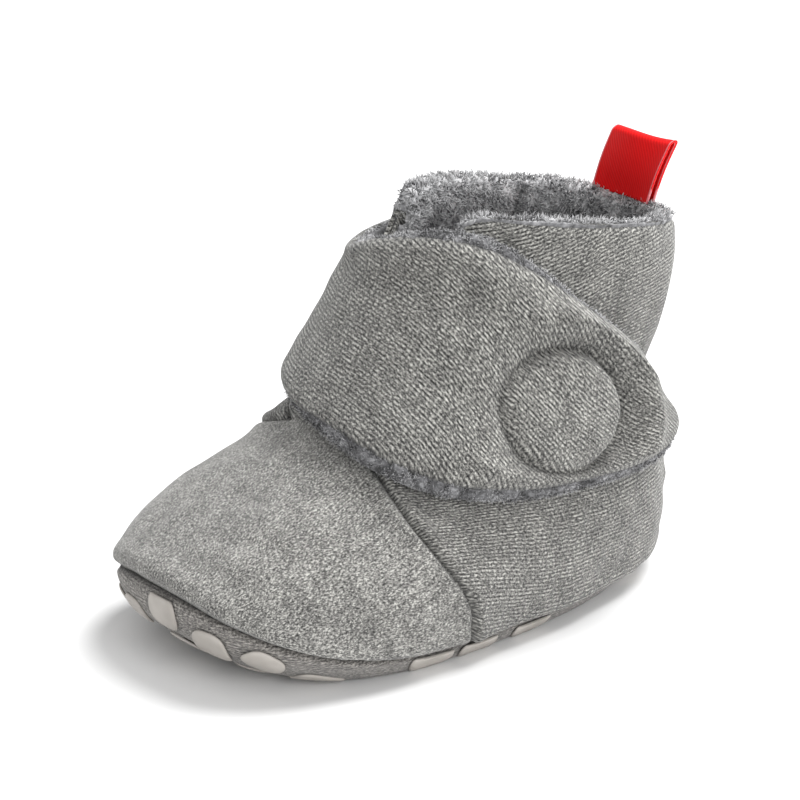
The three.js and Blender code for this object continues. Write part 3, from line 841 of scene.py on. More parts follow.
rim_angle, rim_top = wall_grid([2.0])
trim = trim_at(rim_angle)
jersey_rows = steps([0, 0.06, 1, 1.94, 2], [9, 72, 42, 6])
angle, share = wall_grid(jersey_rows, trim)
height, seam = wall_relief(angle, share)
climb = length_along(surface(angle, share), 0)
from_top = climb[-1:] - climb
height = height + EDGE_TURN[0] * bump(from_top, EDGE_TURN[1]) * (share > 0.7)
# Painted shade along the jersey's turned-in edge under the rim.
seam = np.maximum(seam, 0.8 * bump(from_top, 0.5))
edge_gap = np.minimum(angle - angle[:, :1], angle[:, -1:] - angle) * 0.5
height = height - 0.9 * bump(edge_gap, 1.0) * (jersey_rows > 1)[:, None]
face = offset(angle, share, height)
back = offset(angle, share, height - JERSEY)
ahead_of_seams = (from_toe(angle) < vamp_seam(share, 1)) & (from_toe(angle) > vamp_seam(share, -1))
on_vamp = ahead_of_seams & (share < 0.62)
vamp_faces = (on_vamp[:-1, :-1] & on_vamp[1:, 1:]).astype(int)
jersey_patches = [
    {"points": face, "seam": seam, "material": vamp_faces, "uv": cloth_on_last(angle, share)},
    {"points": back, "flip": True},
    skin_between(back[0], face[0]),
    skin_between(face[-1], back[-1]),
    skin_between(slit(back, jersey_rows, 0), slit(face, jersey_rows, 0)),
    skin_between(slit(face, jersey_rows, -1), slit(back, jersey_rows, -1)),
]
upper_jersey = make_piece("upper_jersey", jersey_patches, [jersey, vamp_jersey], ["seam"])

# %% [markdown]
# ### Fleece lining
# The lining is a second closed sheet inside the first. At the rim it rolls over the edge of the
# jersey, most at the heel. Its pile is modelled twice: the sheet itself swells into tufts, from
# cell noise of the tufts' own size, and short curved hairs stand on it where it shows.

# %% Lining of the upper
FLEECE_TUFT = 2.0  # mm across a tuft
PILE = 1.5  # mm, how high the tufts swell
lining_rows = steps([0, 1, 1.3, 1.93], [50, 12, 44])
tuck_rows = steps([0, 1, 1.3, 1.93], [16, 12, 44])[::-1]
up_wall = lining_rows[:, None]
angle, share = wall_grid(lining_rows)
height, _ = wall_relief(angle, share)
soft = height * smooth((2.05 - up_wall) / 0.3)
inner = offset(angle, share, 0.6 * soft - WALL)
inward = -normal_at(angle, share)


def tufted(points, seed=0, upright=1.0):
    """Height of the pile, 0 to 1: big tufts with small ones on them. upright draws them out
    into columns, as the pile lies on the wall."""
    points = points * np.array([1, 1, 1 / upright])
    small = tufts(points, 0.55 * FLEECE_TUFT, seed + 9)
    return 0.7 * tufts(points, FLEECE_TUFT, seed) + 0.3 * small


def fold_relief(points):
    """The inner flap of the collar lies over the back of the lining, with a deep fold by it."""
    return -2.6 * bump(distance_to_line(points, line_on_last(238, 1.0, 244, 0.72, 20)), 1.6)


def soft_roll(points, below_rim):
    """How far the fleece bulges inwards, in mm: a full roll under the rim, in upright waves."""
    waves = 1.1 * noise(points * np.array([1, 1, 0.3]), 8.0, 51)
    return (1.6 + waves) * bump(below_rim - 5, 5.5)


pile = np.where(up_wall < 1.1, tufted(inner), tufted(inner, upright=1.9))
flap_fold = fold_relief(surface(angle, share))
below_rim = (2 - up_wall) * (1 - THROAT_SHARE) * SHAFT_MM
bulge = soft_roll(inner, below_rim) * (up_wall > 1.2)
inner = inner + inward * (1.25 * PILE * (pile - 0.45) + flap_fold + bulge)[..., None]
# The lining is painted darker further below the rim: painted shade inside the shoe.
pile = pile - 0.22 * smooth((below_rim - 5) / 10)

# The roll runs from the inner face over the rim to the jersey's edge: a half round in depth and
# height, carried along the rim.
ROLL_INSET = 0.2  # mm from the wall's faces
over_rim = np.linspace(0, math.pi, 15)[1:-1, None]
half_way = (1 + np.cos(over_rim)) / 2  # 1 at the inner face, 0 at the jersey's edge
depth = ROLL_INSET + (WALL - ROLL_INSET) * half_way
inner_lift = 0.07 * (rim_top - THROAT_SHARE) * SHAFT_MM
foot_of_roll = mix(inner_lift, trim, 1 - half_way)
under_rim = foot_of_roll * (1 - np.sin(over_rim)) ** 1.3
roll_share = rim_top - under_rim / SHAFT_MM
roll_angle = np.broadcast_to(rim_angle, roll_share.shape)
roll_normal = normal_at(roll_angle, roll_share)
roll = offset(roll_angle, roll_share, -depth)
outer_side = bump(from_toe(rim_angle) - 95, 48) * (over_rim > 1.2)  # the pile is shorter there
roll_pile = tufted(roll) * (1 - 0.5 * outer_side)
upwards = np.array([0, 0, 1.0]) * np.sin(over_rim)[..., None]
out = unit(roll_normal * -np.cos(over_rim)[..., None] + upwards)
wobble = 0.7 * noise(roll, 9.0, 6)
roll = roll + out * (0.9 * PILE * (roll_pile - 0.45))[..., None]
roll = roll - roll_normal * (bulge[-1] * half_way**1.5)[..., None]
roll[..., 2] += wobble * np.sin(over_rim)
tuck_angle, tuck_share = wall_grid(tuck_rows, trim + 0.6)
tuck = offset(tuck_angle, tuck_share, wall_relief(tuck_angle, tuck_share)[0] - JERSEY - PLAY)
lining_face = np.concatenate([inner, roll])
lining_ring = np.concatenate([lining_face, tuck])
lining_pile = np.concatenate([pile, roll_pile, np.zeros(tuck.shape[:2])])
slit_rows = np.concatenate([lining_rows, np.full(len(roll), 2.0), tuck_rows]) > 0.999


def slit_cap(grid, column, flip):
    """Closes the lining along the throat: its inner edge is joined to its outer edge."""
    edge = grid[slit_rows, column]
    half = (len(edge) + 1) // 2
    return {"points": np.stack([edge[:half], edge[::-1][:half]]), "flip": flip}


lining_patches = [
    {"points": lining_ring, "flip": True, "pile": lining_pile},
    skin_between(lining_ring[0], lining_ring[-1]),
    slit_cap(lining_ring, 0, True),
    slit_cap(lining_ring, -1, False),
]
upper_lining = make_piece("upper_lining", lining_patches, [fleece], ["pile"])

# %% [markdown]
# ## The wrap strap
# The strap is a padded band. It is sewn to the inner side, passes over the open throat and is held
# by a round of touch fastener under its end. Jersey faces it and fleece backs it. They are sewn
# face to face and turned, so the jersey edge is a soft roll and the fleece peeps out behind it.
# Round the fastener the stitching draws the padding down to a ring.

# %% Path of the strap
# angle, low edge, high edge, gap under it as a share of its thickness, straightness across
STRAP = np.array(
    [
        (-104, 0.600, 0.900, 0.05, 0.20),
        (-84, 0.607, 0.895, 0.05, 0.20),
        (-56, 0.617, 0.885, 0.10, 0.20),
        (-26, 0.617, 0.885, 0.25, 0.20),
        (-4, 0.604, 0.921, 0.32, 0.20),
        (15, 0.588, 0.942, 0.30, 0.20),
        (33, 0.558, 0.946, 0.25, 0.25),
        (48, 0.529, 0.930, 0.20, 0.35),
        (62, 0.500, 0.896, 0.15, 0.45),
        (75, 0.477, 0.852, 0.12, 0.55),
        (88, 0.458, 0.806, 0.15, 0.65),
        (104, 0.446, 0.750, 0.35, 0.75),
        (133, 0.430, 0.630, 0.60, 0.90),
    ]
)
STRAP_THICKNESS, STRAP_ROOT_THICKNESS, STRAP_ROOT_BLEND = 4.5, 1.6, 26.0  # mm, mm, degrees
DEGREES_PER_MM = 1.25  # of angle round the outer ankle
STRAP_MM = 80.0  # mm of strap for a whole share
ACROSS_POINTS = 63
END_SQUARE = 2.6  # superellipse exponent of the round end
FLEECE_PART = 0.56  # share of the strap's thickness that is fleece
DISC_ANGLE, DISC_SHARE, DISC_RADIUS = 84.0, 0.63, 13.5  # the radius in mm


def through(x, xs, ys):
    """A smooth curve through a table: cubic pieces with slopes taken from their neighbours."""
    slope = np.gradient(ys, xs)
    i = np.clip(np.searchsorted(xs, x) - 1, 0, len(xs) - 2)
    h = xs[i + 1] - xs[i]
    k = np.clip((x - xs[i]) / h, 0, 1)
    a, b = 2 * k**3 - 3 * k**2 + 1, k**3 - 2 * k**2 + k
    c, d = 3 * k**2 - 2 * k**3, k**3 - k**2
    return a * ys[i] + b * h * slope[i] + c * ys[i + 1] + d * h * slope[i + 1]


def strap_at(angle):
    """Low edge, high edge, gap share and straightness at an angle."""
    return [through(angle, STRAP[:, 0], STRAP[:, n]) for n in (1, 2, 3, 4)]


def strap_point(angle, share, distance):
    """A point of the strap at a distance from the upper, partly on the straight line between its
    two edges, as a band is that spans a hollow."""
    low, high, _, straight = strap_at(angle)
    followed = offset(angle, share, distance)
    ends = [offset(angle, edge, distance) for edge in (low, high)]
    k = ((share - low) / (high - low))[..., None]
    return mix(followed, mix(ends[0], ends[1], k), straight[..., None])


def strap_place(angle, share, distance):
    """One point of the strap."""
    return strap_point(np.array([angle]), np.array([share]), np.array([distance]))[0]


def past_root(angle):
    """0 where the strap is sewn on, 1 where it has its full thickness."""
    return smooth((angle - STRAP[0, 0]) / STRAP_ROOT_BLEND)


def strap_thickness(angle):
    return mix(STRAP_ROOT_THICKNESS, STRAP_THICKNESS, past_root(angle))


def strap_grid(low_margin, high_margin, end_margin):
    """Angle and share over the strap, with its outline grown by margins in mm. The stations past
    1 hold the round end."""
    bend, tip = STRAP[-2:, 0]
    round_part = np.sin(np.radians(90) * np.clip(stations - 1, 0, 1))
    tip = tip + end_margin * DEGREES_PER_MM
    angle = np.where(stations > 1, mix(bend, tip, round_part), mix(STRAP[0, 0], bend, stations))
    low, high, _, _ = strap_at(angle)
    low = low - low_margin * smooth((angle + 20) / 50) / STRAP_MM
    high = high + high_margin * bump(angle - 42, 30) / STRAP_MM
    half = (high - low) / 2 * (1 - round_part**END_SQUARE) ** (1 / END_SQUARE)
    share = (low + high)[:, None] / 2 + half[:, None] * across
    return np.broadcast_to(angle[:, None], share.shape), share


stations = steps([0, 1, 2], [170, 34])
across = 0.45 * np.sin(np.linspace(-math.pi / 2, math.pi / 2, ACROSS_POINTS))[None, :]
across = across + 0.55 * np.linspace(-1, 1, ACROSS_POINTS)[None, :]


def clear_of_upper(angle):
    return GAP + strap_at(angle)[2] * STRAP_THICKNESS


def outline_distance(points):
    """Least distance in mm from each point of a strap grid to the grid's own outline."""
    return distance_to_line(points, np.concatenate([points[:, 0], points[-1], points[::-1, -1]]))


# %% Jersey face of the strap
# angle and share at one end, the same at the other end, width mm, height mm
STRAP_CREASES = [
    (-40, 0.80, 10, 0.74, 5.0, 0.7),
    (-16, 0.87, 44, 0.85, 5.0, -1.3),
    (-30, 0.905, 50, 0.90, 3.5, 0.6),
    (10, 0.68, 46, 0.62, 6.0, 0.8),
    (28, 0.78, 52, 0.72, 5.0, 0.8),
    (-12, 0.70, -30, 0.84, 6.0, -0.6),
    (-70, 0.66, -60, 0.84, 6.0, -0.6),
    (46, 0.88, 74, 0.80, 4.0, 0.6),
    (50, 0.56, 66, 0.53, 4.5, 0.4),
]
RING_DEPTH, RING_DEPTH_AT_END = 1.3, 3.8  # mm that the stitching draws the padding down
DISC_STRETCH = 1.12  # the round is a little longer along the strap
TIP_ANGLE, TIP_SHARE, FACE_HEIGHT = 128.0, 0.535, 6.0  # FACE_HEIGHT in mm over the last
DOME = 1.3  # mm that the round stands up in its middle
LIP, LIP_AT_END, LIP_PLACE, LIP_WIDTH = 0.3, 2.2, 7.5, 2.8  # mm, the roll outside the ring
CUT_SLANT = 12, 28  # degrees that the ribs slope at the root and towards the end
angle, share = strap_grid(0.0, 0.0, 0.0)
full = strap_thickness(angle)
base = clear_of_upper(angle) + full * FLEECE_PART
middle = strap_point(angle, share, base)
edge = outline_distance(middle)
disc_centre = strap_place(DISC_ANGLE, DISC_SHARE, FACE_HEIGHT)
towards_tip = unit(strap_place(TIP_ANGLE, TIP_SHARE, FACE_HEIGHT) - disc_centre)
from_disc = middle - disc_centre
disc_along = (from_disc * towards_tip).sum(-1)
disc_across = np.sqrt(np.maximum((from_disc**2).sum(-1) - disc_along**2, 0))
disc_radius = np.hypot(disc_along / DISC_STRETCH, disc_across * DISC_STRETCH)
from_ring = disc_radius - DISC_RADIUS
facing = (unit(from_disc) * unit(towards_tip + np.array([0, 0, 0.35]))).sum(-1)
low_side = smooth((0.6 - share) / 0.1)
deeper = np.clip(0.9 * smooth(0.45 + 0.8 * facing) + 0.5 * low_side, 0, 1)
ring_depth = mix(RING_DEPTH, RING_DEPTH_AT_END, deeper)
outside = np.clip(from_ring - 0.4, 0, None) / (2.0 + 1.8 * deeper)
hollow = bump(outside, 1) * bump(np.minimum(from_ring, 0), 1.4)
ring = -ring_depth * (0.4 * bump(from_ring, 0.8) + 0.7 * hollow)
lip = (LIP + LIP_AT_END * deeper) * bump(from_ring - LIP_PLACE, LIP_WIDTH)
dome = DOME * np.clip(1 - (disc_radius / (DISC_RADIUS - 0.8)) ** 2, 0, 1) ** 0.7
swell = 0.6 * smooth(edge / 9.0) + ring * smooth(edge / 6) + lip * smooth(edge / 2.5) + dome
swell = swell + crease_relief(surface(angle, share), STRAP_CREASES) * smooth(edge / 4)
swell = swell + 0.4 * noise(middle, 12.0, 21) + 0.16 * noise(middle, 4.0, 22)
grown = past_root(angle)
height = full * (1 - FLEECE_PART) * rolled(edge, 2.4) + swell * grown * smooth(edge / 2.2)
strap_face = strap_point(angle, share, base + height)
strap_back = strap_point(angle, share, base + np.minimum(height - 0.6, 0) * smooth(edge / 2))
# Painted shade: dark along the stitched ring and the strap's rolled edge, and darker in the hollow
# outside the ring towards the end.
ring_seam = np.maximum(0.8 * bump(from_ring, 0.55), 0.9 * bump(edge, 0.35)) * grown
ring_seam = np.clip(ring_seam + 0.4 * deeper * hollow * grown * (from_ring > 0), 0, 1)
face_uv = cloth_uv(middle.transpose(1, 0, 2)).transpose(1, 0, 2)
# The strap is cut on a slant: its ribs run down towards the end, more and more.
slant = np.radians(mix(*CUT_SLANT, smooth((angle[:, 0] + 30) / 110)))
drop_along = np.cumsum(np.gradient(face_uv[:, ACROSS_POINTS // 2, 0]) * np.tan(slant))
face_uv[..., 1] = 0.9 * (face_uv[..., 1] + (drop_along - drop_along[len(slant) // 2])[:, None])
strap_patches = closed_sheet(strap_face, strap_back, seam=ring_seam, uv=face_uv)
strap_jersey = make_piece("strap_jersey", strap_patches, [jersey], ["seam"])

# %% Fleece back of the strap
FLEECE_MARGINS = 1.3, 1.3, 1.4  # mm that it shows past the low edge, high edge and end
angle, share = strap_grid(*FLEECE_MARGINS)
fleece_half = strap_thickness(angle) * FLEECE_PART / 2
clear = clear_of_upper(angle) + fleece_half
middle = strap_point(angle, share, clear)
edge = outline_distance(middle)
pile = tufted(middle, 40)
half = fleece_half * rolled(edge, 1.0)
fluff = PILE * (pile - 0.35) * smooth((4.5 - edge) / 3)
pressed = mix(1.0, -0.5, smooth((edge - 3) / 3))
fleece_face = strap_point(angle, share, clear + half * pressed + fluff * rolled(edge, 1.0))
fleece_back = strap_point(angle, share, clear - half * 0.9)
# The strap's fleece is painted darker than the lining's: painted shade under the jersey's edge.
fleece_patches = closed_sheet(fleece_face, fleece_back, pile=0.75 * pile - 0.15)
strap_fleece = make_piece("strap_fleece", fleece_patches, [fleece], ["pile"])

# %% [markdown]
# ## Sole and insole
# The sole is soft: quilted jersey, cut a little larger than the foot and rolled up at the toe. Its
# grip is a field of silicone spots printed on it, so the spots wrap with it. Each spot is a small
# polar grid. Its flat place on the pattern is carried onto the sole by walking that far from the
# middle along the underside, and up the side past the edge.

# %% Sole
SPOT_RISE = 0.35  # mm that the spots stand proud; they carry the shoe
SIDE_BLEND = 3.0  # mm over which the sole's side leaves the floor
round_steps = np.linspace(0, 360, 289)
seam_top = share_at_height(round_steps, seam_height(round_steps) - GAP)
side_share = steps([0, 0.8, 1], [12, 8])[:, None] * seam_top
side_base = surface(round_steps, side_share)
sole_edge = side_base[0]


def filled(edge, rows, height):
    """A grid inside an edge that is drawn in towards the middle row by row, at a height over the
    sprung floor."""
    grid = rows[:, None, None] * edge
    grid[..., 2] = height + spring_at(grid[..., 0])
    return grid


def line_inside(height, inset):
    """The line at a height over the sprung floor and at an inset from the last."""
    share = share_at_height(round_steps, height + spring_at(sole_edge[:, 0]))
    return offset(round_steps, share, -inset)


up = length_along(side_base, 0)
from_seam = bump(up[-1:] - up, 0.7)
puckered = 0.3 * noise(side_base, 10.0, 31) * smooth(up / SIDE_BLEND)
sole_side = offset(round_steps, side_share, -0.4 * smooth(up / 4) - 0.7 * from_seam + puckered)
sole_side[..., 2] += SPOT_RISE * smooth(1 - up / SIDE_BLEND)
underside = filled(sole_edge, np.linspace(0, 1, 34)[:-1], SPOT_RISE)
brim = offset(round_steps, seam_top, -WALL)
tray = filled(line_inside(SOLE_PAD, WALL), np.array([1, 0.8, 0.5, 0.2, 0.0]), SOLE_PAD)
sole_grid = np.concatenate([underside, sole_side, brim[None], tray])
# Painted shade in the valley of the seam at the top of the sole's side.
sole_seam = np.zeros(sole_grid.shape[:2])
sole_seam[len(underside) : len(underside) + len(sole_side)] = from_seam
sole_patch = {"points": sole_grid, "seam": sole_seam}
sole_piece = make_piece("sole_jersey", [sole_patch], [sole_jersey], ["seam"])

# %% Grip spots
SPOT_LENGTH, SPOT_WIDTH = 9.6, 7.6  # mm
SPOT_PITCH_X, SPOT_PITCH_Y = 13.2, 10.5  # mm
SPOT_FIELD = range(-5, 6), range(-4, 5)  # along and across, more than the sole has room for
SPOT_MARGIN = 1.5  # mm that a spot's middle stays from the seam
SPOT_SQUARE = 2.7  # superellipse exponent of a spot's outline
SUNK = -0.4  # of the rise: how far a spot's foot reaches into the sole
EDGE_BLEND = 1.2  # mm over which a spot bends from the underside to the side
edge_radius = np.linalg.norm(sole_edge[:, :2], axis=-1)
edge_bearing = np.degrees(np.unwrap(np.arctan2(sole_edge[:, 1], sole_edge[:, 0])))
side_slope = np.linalg.norm(surface(round_steps, 0.06) - sole_edge, axis=-1) / 0.06


def edge_towards(x, y):
    """The angle on the last and the reach of the sole's edge in the direction of a flat place."""
    turned = np.degrees(np.arctan2(y, x)) - edge_bearing[0]
    bearing = np.mod(turned, 360) + edge_bearing[0]
    return (np.interp(bearing, edge_bearing, row) for row in (round_steps, edge_radius))


def on_sole(x, y, rise):
    """The point of the sole at a flat place: under the shoe, or past the edge up its side."""
    reach = np.hypot(x, y)
    angle, radius = edge_towards(x, y)
    past = np.clip(reach - radius, 0, None)
    share = past / np.interp(angle, round_steps, side_slope)
    share = np.minimum(share, np.interp(angle, round_steps, seam_top) * 0.93)
    inside = np.minimum(reach, radius) / np.maximum(reach, 1e-6)
    flat = np.stack([x * inside, y * inside, spring_at(x * inside) + SPOT_RISE - rise], axis=-1)
    side = offset(angle, share, rise)
    side[..., 2] += SPOT_RISE * smooth(1 - past / SIDE_BLEND)
    return mix(flat, side, smooth(past / EDGE_BLEND)[..., None])


def rounded(wave):
    """A cosine or sine wave squared up, as the outline of a superellipse has it."""
    return np.sign(wave) * np.abs(wave) ** (2 / SPOT_SQUARE)


random = np.random.default_rng(7)
spot_patches = []
spot_rows = np.array([0.0, 0.35, 0.7, 0.9, 1.0, 1.0, 0.0])[:, None]
spot_rises = np.array([1.0, 1.0, 1.0, 0.85, 0.35, SUNK, SUNK])[:, None] * SPOT_RISE
round_spot = np.radians(np.linspace(0, 360, 33))[None, :]
spot_x = SPOT_LENGTH / 2 * rounded(np.cos(round_spot)) * spot_rows
spot_y = SPOT_WIDTH / 2 * rounded(np.sin(round_spot)) * spot_rows
for i, j in itertools.product(*SPOT_FIELD):
    x0 = (i + 0.5 * (j % 2)) * SPOT_PITCH_X + random.uniform(-1, 1)
    y0 = j * SPOT_PITCH_Y + random.uniform(-0.8, 0.8)
    skew, size = math.radians(random.uniform(-25, 25)), random.uniform(0.9, 1.12)
    angle, radius = edge_towards(x0, y0)
    side_reach = np.interp(angle, round_steps, seam_top * side_slope)
    if math.hypot(x0, y0) > radius - SPOT_MARGIN + side_reach:
        continue
    x = x0 + size * (spot_x * math.cos(skew) - spot_y * math.sin(skew))
    y = y0 + size * (spot_x * math.sin(skew) + spot_y * math.cos(skew))
    points = on_sole(x, y, np.broadcast_to(spot_rises, x.shape))
    spot_patches.append({"points": points})
grip = make_piece("grip_spots", spot_patches, [silicone])
print("grip spots:", len(spot_patches))

# %% Insole
INSOLE_INSET = 0.9  # mm from the wall
insole_bottom = SOLE_PAD + GAP
insole_top = insole_bottom + INSOLE_THICKNESS
low_line, high_line = (line_inside(h, WALL + INSOLE_INSET) for h in (insole_bottom, insole_top))
narrow = np.linalg.norm(low_line[:, :2], axis=-1) < np.linalg.norm(high_line[:, :2], axis=-1)
insole_edge = np.where(narrow[:, None], low_line, high_line)
insole_rows = steps([1, 0.9, 0], [5, 60])
top = filled(insole_edge, insole_rows, insole_top)
from_edge = (1 - insole_rows[:, None]) * np.linalg.norm(insole_edge[:, :2], axis=-1)
insole_pile = tufted(top, 60)
top[..., 2] += 0.8 * PILE * (insole_pile - 0.5) - 1.1 * (1 - rolled(from_edge, 1.8))
bottom = filled(insole_edge, insole_rows[::-6], insole_bottom)
insole_pile = np.concatenate([np.zeros(bottom.shape[:2]), insole_pile])
insole_patch = {"points": np.concatenate([bottom, top]), "pile": insole_pile}
insole = make_piece("insole_fleece", [insole_patch], [fleece], ["pile"])

# %% [markdown]
# ## Label
# A satin ribbon is folded in two and caught in the rim at the heel. It stands up by its own
# stiffness, leans outwards and has a slight wave. It stays bare.

# %% Ribbon label
LABEL_HEIGHT, LABEL_RIBBON, LABEL_LOOP, LABEL_LEAN = 14.0, 0.6, 2.4, 5.5  # mm
LABEL_SHIFT = 3.0  # mm from the middle of the heel towards the outer side
LABEL_FLATTEN = 0.8  # share of the rim's curve that is gone at the fold
LEG_POINTS, RIBBON_POINTS = 26, 41


def ribbon_loop(radius):
    """Section of the loop as distance from its middle and height: up, over and down."""
    leg = (LABEL_HEIGHT - LABEL_LOOP / 2) * np.linspace(0, 1, LEG_POINTS)
    fold = np.linspace(0, math.pi, 11)[1:-1]
    sides = np.full(LEG_POINTS, radius)
    across = np.concatenate([sides, radius * np.cos(fold), -sides])
    return across, np.concatenate([leg, leg[-1] + radius * np.sin(fold), leg[::-1]])


def ribbon_grid(radius):
    across, height = ribbon_loop(radius)
    along = np.linspace(-RIBBON_WIDTH / 2, RIBBON_WIDTH / 2, RIBBON_POINTS)[:, None]
    per_degree = np.linalg.norm(surface(180, 1.0) - surface(181, 1.0))
    rim = surface(180 + (along - LABEL_SHIFT) / per_degree, 1.0)
    chord = mix(rim[:1], rim[-1:], along[..., None] / RIBBON_WIDTH + 0.5)
    share = height / LABEL_HEIGHT
    wave = 0.7 * np.sin(along / RIBBON_WIDTH * 5.2 + 0.6) + 0.35 * np.sin(height / 3.1)
    flat = mix(rim, chord, LABEL_FLATTEN * share[..., None])
    x = flat[..., 0] + WALL / 2 - across + wave * share
    y = flat[..., 1] + LABEL_LEAN * (share**1.1 - 0.5)
    z = rim[..., 2] + GAP + height + 0.25 * share * np.sin(along / 4.0)
    return np.stack([x, y, z], axis=-1), along


outside, ribbon_u = ribbon_grid(LABEL_LOOP / 2)
inside, _ = ribbon_grid(LABEL_LOOP / 2 - LABEL_RIBBON)
ribbon_v = length_along(outside, 1)
ribbon_map = np.stack([np.broadcast_to(ribbon_u, ribbon_v.shape), ribbon_v], axis=-1)
label_patches = closed_sheet(outside, inside, back_uv=ribbon_map, uv=ribbon_map)
label = make_piece("label_ribbon", label_patches, [ribbon])

# %% [markdown]
# ## Pile
# The hairs of the fleece are short and curved. Each is a closed spike of seven points. They are
# scattered with a seeded random generator over the grids, more where a grid's cells are larger,
# and joined into one mesh for each place, because a thousand objects would be slow.

# %% Hairs
HAIR_LENGTH, HAIR_WIDTH = 1.7, 0.2  # mm
STRAP_HAIR_LENGTH, STRAP_SHADE = 1.1, -0.25  # mm, and how much darker they are painted: painted shade under the strap's edge
COLLAR_HAIRS, STRAP_HAIRS = 19000, 8000
LOCK = 2.4  # mm, the width of a lock of hairs that lean the same way


def scatter(grid, count, seed, chance=None):
    """Places and normals on a grid of points: cells are drawn by their area times chance."""
    random = np.random.default_rng(seed)
    a, b, c = grid[:-1, :-1], grid[:-1, 1:], grid[1:, :-1]
    cross = np.cross(b - a, c - a)
    weight = np.linalg.norm(cross, axis=-1)
    if chance is not None:
        weight = weight * chance[:-1, :-1]
    cell = random.choice(weight.size, count, p=weight.ravel() / weight.sum())
    u, v = random.random((2, count, 1))
    a, b, c = (p.reshape(-1, 3)[cell] for p in (a, b, c))
    return a + u * (b - a) + v * (c - a), unit(cross.reshape(-1, 3)[cell])


def make_hairs(name, roots, normals, seed, length=HAIR_LENGTH, shade_shift=0.0):
    """Closed curved spikes: a triangle at the root, a smaller one half way and a tip. Smooth
    noise of the place makes neighbours lean and shade alike, so that they lie in locks."""
    random = np.random.default_rng(seed)
    count = len(roots)
    lock = np.stack([noise(roots, LOCK, seed + n) for n in range(4)], axis=-1)
    lean = unit(normals + 0.9 * lock[:, :3] + 0.35 * random.normal(size=(count, 3)))
    curl = unit(lean + 0.8 * lock[:, 1:] + 0.5 * random.normal(size=(count, 3)))
    size = length * random.uniform(0.6, 1.15, (count, 1))
    side = unit(np.cross(lean, random.normal(size=(count, 3))))
    other = np.cross(lean, side)
    turns = np.radians([0, 120, 240])[:, None]
    star = side[:, None] * np.cos(turns) + other[:, None] * np.sin(turns)
    root = roots - 0.25 * lean
    knee = root + 0.6 * size * lean
    tip = knee + 0.5 * size * curl
    width = HAIR_WIDTH / 2 * random.uniform(0.8, 1.3, (count, 1, 1))
    rings = [root[:, None] + star * width, knee[:, None] + star * width * 0.8, tip[:, None]]
    points = np.concatenate(rings, axis=1).reshape(-1, 3)
    sides = np.array([[0, 1, 4, 3], [1, 2, 5, 4], [2, 0, 3, 5]])
    caps = np.array([[3, 4, 6], [4, 5, 6], [5, 3, 6], [2, 1, 0]])
    base = 7 * np.arange(count)[:, None, None]
    faces = (sides + base).reshape(-1, 4).tolist() + (caps + base).reshape(-1, 3).tolist()
    shade = shade_shift + random.uniform(-0.15, 0.15, count) + 0.35 * lock[:, 3]
    # Each hair is painted dark at the root and pale at the tip: painted shade, as in the fleece's
    # tufts.
    shade = np.tile([0.25, 0.25, 0.25, 0.6, 0.6, 0.6, 1.0], count) + np.repeat(shade, 7)
    print(f"{name}: {count} hairs")
    return add_mesh(name, points, faces, [fleece], {"pile": shade})


lining_seen = np.concatenate([lining_rows, np.full(len(roll), 2.0)])[:, None]
seen = np.clip((lining_seen - 1.2) / 0.4, 0, 1) * np.ones(len(columns))
seen[len(lining_rows) :] *= 1 - 0.8 * outer_side
roots, normals = scatter(lining_face, COLLAR_HAIRS, 11, seen)
collar_pile = make_hairs("collar_pile", roots, -normals, 12)
roots, normals = scatter(fleece_face, STRAP_HAIRS, 13, smooth((3.4 - edge) / 1.2))
strap_pile = make_hairs("strap_pile", roots, -normals, 14, STRAP_HAIR_LENGTH, STRAP_SHADE)

# %% [markdown]
# ## Fit to the part
# Every piece rides on the one body, and stands for the solid that it dresses. The strap, the sole
# and the insole are padded. The floor is not part of the shoe.

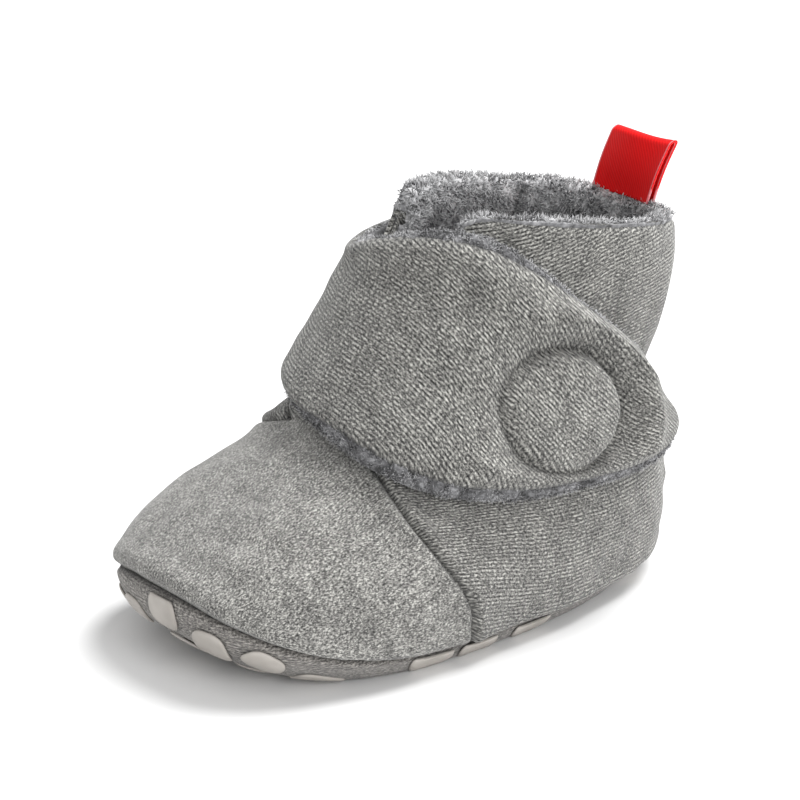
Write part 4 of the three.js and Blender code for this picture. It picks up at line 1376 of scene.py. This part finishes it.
# %% Bodies, solids and finishes
DRESSED = [
    (sole_piece, ["sole"], "sole_jersey"),
    (grip, [], "sole_jersey"),
    (upper_jersey, ["upper"], "upper_jersey"),
    (upper_lining, [], "fleece"),
    (collar_pile, [], "fleece"),
    (insole, ["insole"], "fleece"),
    (strap_jersey, ["wrap_strap"], "strap_jersey"),
    (strap_fleece, [], "fleece"),
    (strap_pile, [], "fleece"),
    (label, ["back_label"], "label_ribbon"),
]
for piece, solids, finish in DRESSED:
    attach(piece, "root")
    if solids:
        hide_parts(*solids)

# %% [markdown]
# ## Floor and light
# The photo was taken on a white sweep under large soft lights. One wide light hangs above and a
# little behind the shoe, a second fills from the side, and the white world fills the rest.

# %% Floor
FLOOR = 3.0  # m from the middle to each side
paper = new_material("white_paper_sweep")
paper_grain = node(paper, "TexNoise", {"Scale": 40.0, "Detail": 2.0})
paper_tone = ramp(paper, paper_grain, [(0.3, "e3e3e3"), (0.7, "e6e6e6")])
cover(paper, {"Base Color": paper_tone, "Roughness": 0.9})
floor_mesh = bpy.data.meshes.new("floor")
floor_corners = [(x * FLOOR, y * FLOOR, 0) for x, y in ((-1, -1), (1, -1), (1, 1), (-1, 1))]
floor_mesh.from_pydata(floor_corners, [], [(0, 1, 2, 3)])
floor_mesh.materials.append(paper)
floor = add_object("floor", floor_mesh)

# %% Lights
LIGHTS = [
    # name, how far right, up and towards the camera in m, size in m, watts
    ("overhead", 0.4, 1.0, -0.25, 0.7, 16.0),
    ("side", 0.6, 0.5, 0.95, 0.7, 7.0),
]
WORLD_STRENGTH = 0.76
screen_right = Vector((-towards_camera.y, towards_camera.x, 0)).normalized()
forward = Vector((towards_camera.x, towards_camera.y, 0)).normalized()
for name, right, up_by, near, size, watts in LIGHTS:
    data = bpy.data.lights.new(name, "AREA")
    data.shape, data.size, data.energy = "DISK", size, watts
    lamp = add_object(name, data)
    lamp.location = screen_right * right + Vector((0, 0, up_by)) + forward * near
    lamp.rotation_euler = (AIM - lamp.location).to_track_quat("-Z", "Y").to_euler()
world = bpy.data.worlds.new("studio")
world.use_nodes = True
backdrop = {"Color": colour("ffffff"), "Strength": WORLD_STRENGTH}
connect(world.node_tree.nodes["Background"], backdrop)
bpy.context.scene.world = world
bpy.context.scene.view_settings.view_transform = "Standard"
